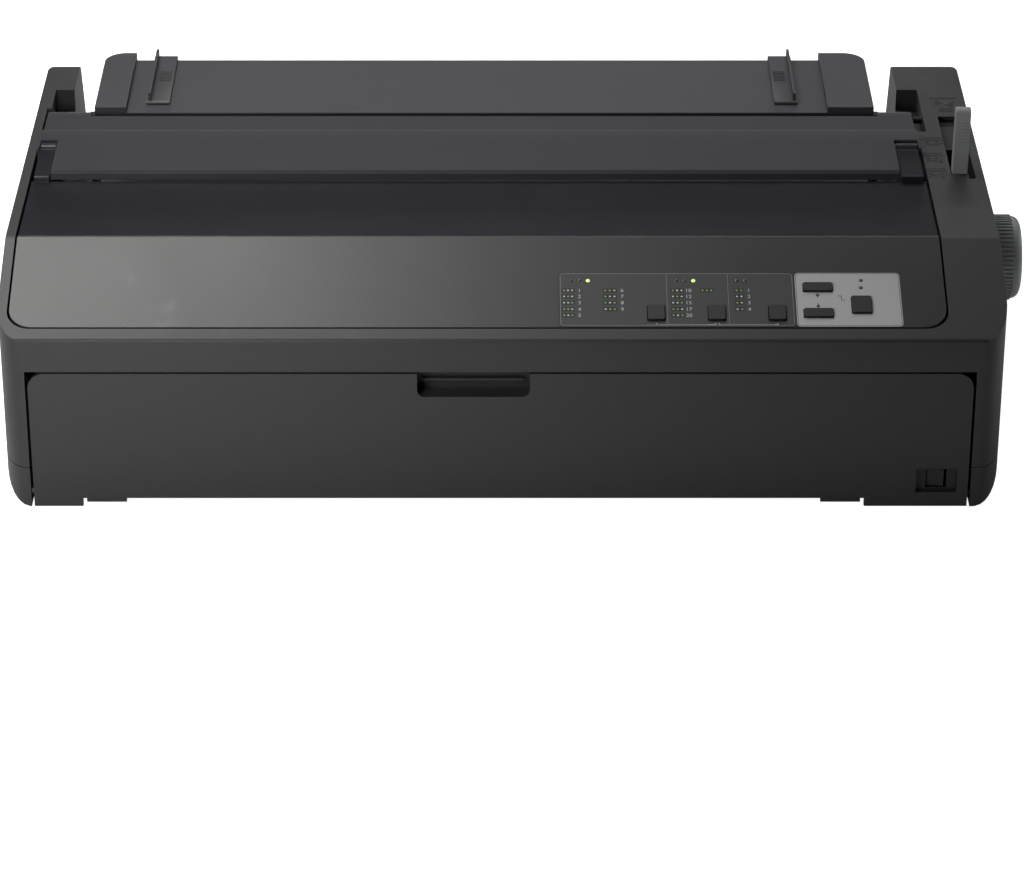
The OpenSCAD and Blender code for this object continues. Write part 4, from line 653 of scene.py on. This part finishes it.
knob_plastic = moulding("knob_plastic", (0.400, 0.418, 0.410), 0.42, 0.5, 0.0008, 0.00002)
knob_low, knob_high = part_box("platen_knob")
knob_at = (277.2, 177, 70)
knob_long = (knob_high[0] - case_x) * 1000 - knob_at[0]
knob_r = (knob_high[2] - knob_low[2]) * 500
cap_long, cap_r, rib_deep, hub_r, hub_long = 6.5, 5, 1.6, 9, 11
ribs_long = knob_long - cap_long
many_ribs = 60
cap = [(knob_r - 0.9 - cap_r + cap_r * math.cos(math.radians(a)), ribs_long + 1.5 + cap_r * math.sin(math.radians(a)))
       for a in range(0, 91, 15)]
dish = [(17.4, 0), (16.4, -0.9), (8.6, -1.3), (8.0, -0.5), (6.4, -0.5), (6.0, -1.6), (0, -1.6)]
knob = Form()
knob.turned([(0, -hub_long), (hub_r, -hub_long), (hub_r, 0.4), (knob_r - rib_deep, 0.4), (knob_r - 0.9, 1.0)] + cap
            + [(r, knob_long + h) for r, h in dish], knob_at, (1, 0, 0), 96)
for i in range(many_ribs):
    turn = Matrix.Translation(knob_at) @ Matrix.Rotation(math.radians(360 / many_ribs * i), 4, "X")
    knob.block([0.5, ribs_long + 1.2], [-0.72, 0.72], [knob_r - rib_deep, knob_r], 0.4, 2, turn)
knob.piece("ribbed_knob", "platen", knob_plastic, "knob_grey", ["platen_knob"])

# ---------------------------------------------------------------------------------------------------
# The paper release lever: a flat grey arm with a rounded tip and a few grip ribs near it. It is moulded
# on a steel shaft that lowers the pressure rollers.

lever_plastic = moulding("lever_plastic", (0.240, 0.252, 0.248), 0.40, 0.5, 0.0008, 0.00002)
dress("release_lever", lever_plastic, 0.0012)
grip = Form()
lever_x = [258.9, 266.2]
lever_foot_d, lever_foot_z, lever_rake = 160.5, 131, 2.5 / 40
for i in range(7):
    z = 150.5 + 2.0 * i
    front = lever_foot_d - lever_rake * (z - lever_foot_z)
    grip.block(lever_x, [front - 0.3, front + 0.5], [z - 0.45, z + 0.45], 0.28, 2)
grip.piece("lever_ribs", "release_lever", lever_plastic, "knob_grey")

# ---------------------------------------------------------------------------------------------------
# The steel inside: chassis, side frames and carriage rail, pressed from zinc plated sheet.


def sheet_steel(name, colour, rough=0.38):
    f = Finish(name, metal=1.0)
    spangle = f.pits(0.009)
    streak = f.grain(0.004, 3, (0.15, 1, 1))
    f.paint(f.mix(shade(colour, 0.82), shade(colour, 1.12), spangle * 0.5 + streak * 0.5))
    f.shine(rough + spangle * 0.1 + streak * 0.08)
    f.emboss(streak, 0.000006)
    return f


zinc = sheet_steel("zinc_sheet", (0.52, 0.53, 0.54))
for name in ("chassis", "left_side_frame", "right_side_frame", "carriage_rail"):
    dress(name, zinc)

# ---------------------------------------------------------------------------------------------------
# Shafts: ground and plated steel rods held in the side frames, and sintered bronze bearings in which the
# platen turns.

for name in ("carriage_shaft", "tractor_support_shaft", "platen_shaft", "tractor_drive_shaft"):
    dress(name, bright)
bronze = ground_steel("sintered_bronze", (0.42, 0.28, 0.14), 0.42)
dress("platen_bearings", bronze)

# ---------------------------------------------------------------------------------------------------
# The platen and the pressure rollers: ground rubber on steel cores. The rubber has the very fine rings
# that the grinding wheel leaves.


def ground_rubber(name, colour):
    f = Finish(name, gloss=0.35)
    rings = f.grain(0.0005, 2, (1, 0.05, 0.05))
    dust = f.curve(f.grain(0.015, 5), 0.45, 0.8)
    f.paint(f.mix(colour, shade(colour, 2.0), dust * 0.5 + rings * 0.2))
    f.shine(0.6 + rings * 0.12)
    f.emboss(rings, 0.00001)
    return f


roller_rubber = ground_rubber("roller_rubber", (0.014, 0.014, 0.014))
dress("platen_roller", roller_rubber)
dress("pressure_rollers", roller_rubber)

# ---------------------------------------------------------------------------------------------------
# Gears and pulleys in natural acetal, and a brass pinion on the feed motor.


def natural_plastic(name, colour, rough=0.4):
    f = Finish(name, gloss=0.5)
    cloud = f.grain(0.006, 4)
    f.paint(f.mix(shade(colour, 0.9), colour, cloud))
    f.shine(rough + cloud * 0.1)
    f.emboss(f.grain(0.0005, 2), 0.00001)
    return f


acetal = natural_plastic("acetal", (0.62, 0.60, 0.54))
for name in ("platen_gear", "reduction_gear", "drive_pulley", "idler_pulley"):
    dress(name, acetal)
brass = ground_steel("turned_brass", (0.62, 0.46, 0.20), 0.3)
dress("feed_pinion", brass)

# ---------------------------------------------------------------------------------------------------
# The belts: black rubber with moulded teeth, one to the tractor shaft and one that draws the carriage.


def toothed(name, along, pitch):
    f = Finish(name, gloss=0.3)
    teeth = f.bands(pitch, along)
    dust = f.grain(0.008, 4)
    f.paint(f.mix((0.012, 0.012, 0.012), (0.035, 0.035, 0.035), dust * 0.5 + teeth * 0.3))
    f.shine(0.62 + dust * 0.15)
    f.emboss(teeth, 0.0004)
    return f


dress("carriage_belt", toothed("carriage_belt_rubber", "X", 0.00203))
dress("feed_belt", toothed("feed_belt_rubber", "Y", 0.003))

# ---------------------------------------------------------------------------------------------------
# The tractors: black frames that slide on two shafts, with white pin wheels and white hinged doors.

inner_black = moulding("inner_plastic", (0.016, 0.016, 0.018), 0.5, 0.4, 0.0009, 0.00002)
for side in ("left", "right"):
    dress(side + "_tractor", inner_black, 0.0003)
    dress(side + "_sprocket", acetal)
    dress(side + "_tractor_door", acetal, 0.0003)
    low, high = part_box(side + "_tractor_door")
    x0, x1 = ((v - case_x) * 1000 for v in (low[0], high[0]))
    top = high[2] * 1000
    ribs = Form()
    for d in (30.6, 34.8, 43.6, 47.8):
        ribs.block([x0 + 4, x1 - 5], [d, d + 1], [top - 2.4, top - 1.7], 0.2, 1)
    ribs.piece(side + "_door_ribs", side + "_tractor_door", acetal, "gear_plastic")

# ---------------------------------------------------------------------------------------------------
# Paper chutes: black mouldings that lead the paper under and behind the platen.

dress("front_chute", inner_black)
dress("platen_chute", inner_black)

# ---------------------------------------------------------------------------------------------------
# The carriage and the print head: a black slider, and a finned casting whose nose holds two rows of wires
# close to the ribbon.

dress("carriage", inner_black, 0.0003)
casting = sheet_steel("head_casting", (0.35, 0.36, 0.37), 0.5)
dress("print_head", casting)
head_x, head_z, wire_pitch = -205.2, 70, 0.75
nose = Form()
for row in (-1.1, 1.1):
    for i in range(12):
        z = head_z + (i - 5.5) * wire_pitch
        nose.rod((head_x + row, 157.5, z), (head_x + row, 158.1, z), 0.2, 0.04, 8)
nose.piece("head_wires", "carriage", bright, "head_metal")

# ---------------------------------------------------------------------------------------------------
# The ribbon cartridge: a flat black box across the machine, with a ribbed winding knob and a clipped lid.

dress("ribbon_cartridge", inner_black, 0.0004)
lid = Form()
lid.block([-244, 218], [80, 108.4], [103.9, 104.7], 0.3)
for x in (-232, -120, -8, 104, 206):
    lid.block([x - 3, x + 3], [77.4, 80.4], [98, 104.5], 0.4)
winder_at = (-222, 94, 104.5)
lid.turned([(0, 0), (13, 0), (13, 1), (11.5, 1.4), (11.5, 5), (10.8, 5.8), (3, 5.8), (2.4, 5), (0, 5)],
           winder_at, steps=48)
for i in range(24):
    turn = Matrix.Translation(winder_at) @ Matrix.Rotation(math.radians(15 * i), 4, "Z")
    lid.block([11.0, 12.3], [-0.5, 0.5], [1.2, 5.4], 0.25, 1, turn)
lid.piece("cartridge_lid", "case", inner_black, "black_plastic")

# ---------------------------------------------------------------------------------------------------
# The two motors: drawn steel cans with crimped end plates, cooling slots and screws.


def enamel(name, colour):
    f = Finish(name, metal=0.6, gloss=0.5)
    peel = f.grain(0.0015, 3)
    f.paint(f.mix(shade(colour, 0.85), shade(colour, 1.15), peel))
    f.shine(0.38 + peel * 0.12)
    f.emboss(peel, 0.00001)
    return f


motor_enamel = enamel("motor_enamel", (0.10, 0.10, 0.11))
motor_r, crimp_r = 20, 19.4


def motor(form, place, way, long, boss):
    can_side = [(0, 0), (17.5, 0), (crimp_r, 0.9), (crimp_r, 3), (motor_r, 3.2), (motor_r, long - 3.4),
                (crimp_r, long - 3.2), (crimp_r, long - 0.8), (17.8, long), (9, long), (9, long + boss),
                (2.6, long + boss), (2.6, long - 2), (0, long - 2)]
    form.turned(can_side, place, way, 64)
    facing = Matrix.Translation(place) @ Vector(way).to_track_quat("Z", "Y").to_matrix().to_4x4()
    for i in range(12):
        spin = facing @ Matrix.Rotation(math.radians(30 * i), 4, "Z")
        form.block([motor_r - 0.5, motor_r], [-1.6, 1.6], [6, long - 6], 0.2, 1, spin)
    screw = [(0, 0.2), (0.7, 0.2), (0.8, 0.9), (1.6, 0.9), (1.8, 0.5), (1.8, 0), (0, 0)]
    for i in range(3):
        spin = Matrix.Rotation(math.radians(120 * i + 20), 4, "Z") @ Matrix.Translation((13.5, 0, long - 0.3))
        form.turned(screw, (facing @ spin).to_translation(), way, 16)


drive_motor = Form()
motor(drive_motor, (209, 104, 9.6), (0, 0, 1), 26, 4)
drive_motor.piece("drive_motor_can", "case", motor_enamel, "motor_metal", ["carriage_motor"])
pinion_low, pinion_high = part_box("feed_pinion")
motor_d = ((pinion_low[1] + pinion_high[1]) / 2 - case_low[1]) * 1000
motor_z = (pinion_low[2] + pinion_high[2]) * 500
line_motor = Form()
motor(line_motor, (211, motor_d, motor_z), (1, 0, 0), 21.9, 2)
line_motor.piece("feed_motor_can", "case", motor_enamel, "motor_metal", ["feed_motor"])

# ---------------------------------------------------------------------------------------------------
# The main board: green lacquered board on spacers, with chips, capacitors and two sockets that face the
# rear. The wide socket takes the computer cable and has a wire clip at each end.


def board_lacquer(name, colour):
    f = Finish(name, gloss=0.5)
    tracks = f.node("ShaderNodeTexBrick", {"offset": 0.5},
                    {"Vector": f.place, "Scale": 90.0, "Mortar Size": 0.03}, out="Fac")
    weave = f.grain(0.0008, 2)
    f.paint(f.mix(colour, shade(colour, 1.7), tracks * 0.6 + weave * 0.25))
    f.shine(0.32 + weave * 0.1)
    f.emboss(tracks, 0.00002)
    return f


board_green = board_lacquer("board_green", (0.018, 0.11, 0.045))
chip_black = moulding("chip_black", (0.014, 0.014, 0.015), 0.5, 0.4, 0.0003, 0.00001)
tin = ground_steel("tinned_metal", (0.60, 0.61, 0.62), 0.28)
board_d, board_z = [226, 341], [28, 29.6]
board_top = board_z[1]
slab = Form()
slab.block([-250, 22], board_d, board_z, 0.15, 1)
slab.piece("main_board_slab", "case", board_green, "board_green", ["main_board"])


def chip(bodies, legs, x, d, wide, long, tall, many):
    chip_z = [board_top + 0.4, board_top + tall]
    bodies.block([x - wide / 2, x + wide / 2], [d - long / 2, d + long / 2], chip_z, 0.25)
    dot_at = (x - wide / 2 + 1.6, d - long / 2 + 1.6, board_top + tall)
    bodies.turned([(0, 0), (0.7, 0), (0.7, 0.05), (0, 0.06)], dot_at, steps=12)
    for i in range(many):
        at = d - long / 2 + long * (i + 0.5) / many
        for side in (-1, 1):
            edge = x + side * wide / 2
            leg_d = [at - 0.28, at + 0.28]
            legs.block(sorted([edge - side * 0.1, edge + side * 1.3]), leg_d, [board_top + 1.2, board_top + 1.5], 0)
            legs.block(sorted([edge + side * 1.1, edge + side * 1.4]), leg_d, [board_top - 0.1, board_top + 1.5], 0)


def can(form, x, d, r, tall):
    form.turned([(0, 0), (r - 0.3, 0), (r, 0.4), (r, 1.6), (r - 0.4, 2.1), (r, 2.6), (r, tall - 0.6), (r - 0.5, tall),
                 (r - 1.2, tall), (r - 1.4, tall - 0.25), (0, tall - 0.25)], (x, d, board_top), steps=32)
    for turn in (0, 60, 120):
        form.block([-r * 0.6, r * 0.6], [-0.12, 0.12], [tall - 0.28, tall - 0.12], 0, 1,
                   Matrix.Translation((x, d, board_top)) @ Matrix.Rotation(math.radians(turn), 4, "Z"))


chips, legs = Form(), Form()
for x, d, wide, long, tall, many in ((-135, 277, 30, 30, 3.4, 14), (-78, 262, 24, 24, 2.8, 10),
                                     (-178, 258, 12, 26, 2.6, 9), (-224, 284, 10, 24, 2.6, 8),
                                     (-30, 262, 10, 20, 2.6, 7)):
    chip(chips, legs, x, d, wide, long, tall, many)
for i in range(14):
    chips.block([-238 + i * 9, -235 + i * 9], [236, 237.6], [29.5, 30.4], 0.15, 1)
header_z, pin_pitch = [29.5, 42], 2.54
for x, d, edge in (([-48, -2], [280, 282], 0.4), ([-48, -2], [286, 288], 0.4), ([-48, -46], [281, 287], 0.3),
                   ([-4, -2], [281, 287], 0.3)):
    chips.block(x, d, header_z, edge)
for i in range(17):
    for d in (283.2, 285):
        legs.block([-44.4 + i * pin_pitch, -43.7 + i * pin_pitch], [d, d + 0.7], [29.5, 39], 0.1, 1)
chips.piece("board_chips", "case", chip_black, "black_plastic", ["main_board"])
cans = Form()
for x in (-220, -205, -40, -22):
    can(cans, x, 246, 5, 13)
sleeve = natural_plastic("capacitor_sleeve", (0.03, 0.035, 0.09), 0.35)
cans.piece("board_capacitors", "case", sleeve, "black_plastic", ["main_board"])

# The wide socket and the small square one, with their plated shells
shells = Form()
x0, x1 = -195, -139
for z0, z1 in ((29.6, 31.2), (41.4, 43)):
    shells.block([x0 + 4, x1 - 4], [329.5, 347], [z0, z1], 0.3)
for a, b in ((x0, x0 + 5.2), (x1 - 5.2, x1)):
    shells.block([a, b], [329, 346.2], [29.6, 43], 0.4)
for side, x in ((-1, x0 + 2.4), (1, x1 - 2.4)):
    shells.rod((x, 346.4, 31.4), (x, 346.4, 41.2), 0.5, 0.1, 12)
    shells.rod((x, 346.4, 31.8), (x - side * 3.4, 346.4, 32.8), 0.5, 0.1, 12)
    shells.rod((x, 346.4, 40.8), (x - side * 3.4, 346.4, 39.8), 0.5, 0.1, 12)
x0, x1 = -117, -104
shells.block([x0, x1], [330, 346], [29.6, 30.6], 0.2)
shells.block([x0, x1], [330, 346], [40.6, 41.6], 0.2)
shells.block([x0, x0 + 1], [330, 346], [29.8, 41.4], 0.2)
shells.block([x1 - 1, x1], [330, 346], [29.8, 41.4], 0.2)
shells.block([x0 + 0.5, x1 - 0.5], [330, 332], [29.8, 41.4], 0.2)
shells.piece("socket_shells", "case", tin, "screw_steel", ["main_board"])
tongues = Form()
tongues.block([-187, -147], [331, 344], [34.3, 38.3], 0.4)
tongues.block([-190, -144], [330, 333], [31, 41.6], 0.3)
tongues.block([-113.6, -107.4], [331.5, 343.6], [34.0, 37.2], 0.4)
tongues.piece("socket_tongues", "case", chip_black, "black_plastic", ["main_board"])
for i in range(18):
    for z in (34.1, 38.35):
        legs.block([-185.9 + i * 2.16, -184.9 + i * 2.16], [334, 343.6], [z, z + 0.2], 0)
for x in (-112.8, -109.2):
    legs.block([x, x + 1.2], [334, 343], [33.85, 34.05], 0)
    legs.block([x, x + 1.2], [334, 343], [37.15, 37.35], 0)
legs.piece("board_legs", "case", tin, "screw_steel", ["main_board"])

# ---------------------------------------------------------------------------------------------------
# The power supply: a brown board with a transformer, a heat sink, three large capacitors and a fuse
# holder. Paper tape is wound round the transformer's coil.

board_brown = board_lacquer("board_brown", (0.16, 0.095, 0.035))
supply_left = 60
base = Form()
base.block([supply_left, 229], board_d, board_z, 0.15, 1)
base.piece("supply_slab", "case", board_brown, "board_brown", ["power_supply"])
core = Form()
for x, d, z in (([74, 118], [250, 256], [29.5, 53.6]), ([74, 118], [282, 288], [29.5, 53.6]),
                ([74, 80], [255, 283], [46, 53.6]), ([112, 118], [255, 283], [46, 53.6]),
                ([91, 101], [255, 283], [30, 53])):
    core.block(x, d, z, 0.5)
core.piece("transformer_core", "case", chip_black, "black_plastic", ["power_supply"])
tape = natural_plastic("yellow_tape", (0.55, 0.42, 0.06), 0.45)
coil = Form()
coil.block([82, 110], [256.4, 281.6], [30.6, 51.2], 3, 4)
for i in range(6):
    coil.block([81.7, 110.3], [258 + i * 4, 260 + i * 4], [30.3, 51.5], 3, 3)
coil.piece("transformer_coil", "case", tape, "board_brown", ["power_supply"])
sink = Form()
sink.block([132, 134.4], [236, 292], [29.5, 51.6], 0.3)
for i in range(10):
    d = 238 + i * 5.8
    sink.block([134.2, 138], [d, d + 1.4], [29.6, 51.6], 0.3, 1)
sink.piece("heat_sink", "case", casting, "head_metal", ["power_supply"])
tanks = Form()
for x, d in ((92, 262), (114, 262), (92, 284)):
    can(tanks, supply_left + x, d, 9, 19)
tanks.piece("supply_capacitors", "case", sleeve, "black_plastic", ["power_supply"])
fuse = Form()
fuse.block([168, 194], [300, 320.6], [29.5, 33], 0.4)
fuse.block([168, 173], [302, 318], [32.5, 41.6], 0.5)
fuse.block([189, 194], [302, 318], [32.5, 41.6], 0.5)
fuse.rod((171, 310, 37), (191, 310, 37), 2.6, 0.3)
fuse.piece("fuse_holder", "case", chip_black, "black_plastic", ["power_supply"])

# ---------------------------------------------------------------------------------------------------
# The power inlet: a black socket held on the rear panel by two screws, with three flat plated pins inside.

dress("power_inlet", chip_black, 0.0003)
inlet_x, flange_d = 181, 349
blades = Form()
for x, z in ((-7, 41), (7, 41), (0, 46)):
    blades.block([inlet_x + x - 1, inlet_x + x + 1], [330, 345.5], [z - 2, z + 2], 0.35, 2)
for x in (-21.5, 21.5):
    blades.turned([(0, 0), (2.5, 0), (2.5, 0.3), (1.7, 0.85), (0.5, 0.9), (0.4, 0.5), (0, 0.5)],
                  (inlet_x + x, flange_d, 45), (0, 1, 0), 24)
blades.piece("inlet_blades", "case", tin, "screw_steel")

# ---------------------------------------------------------------------------------------------------
# The panel board behind the fascia, with its push switches.

dress("panel_board", board_green)
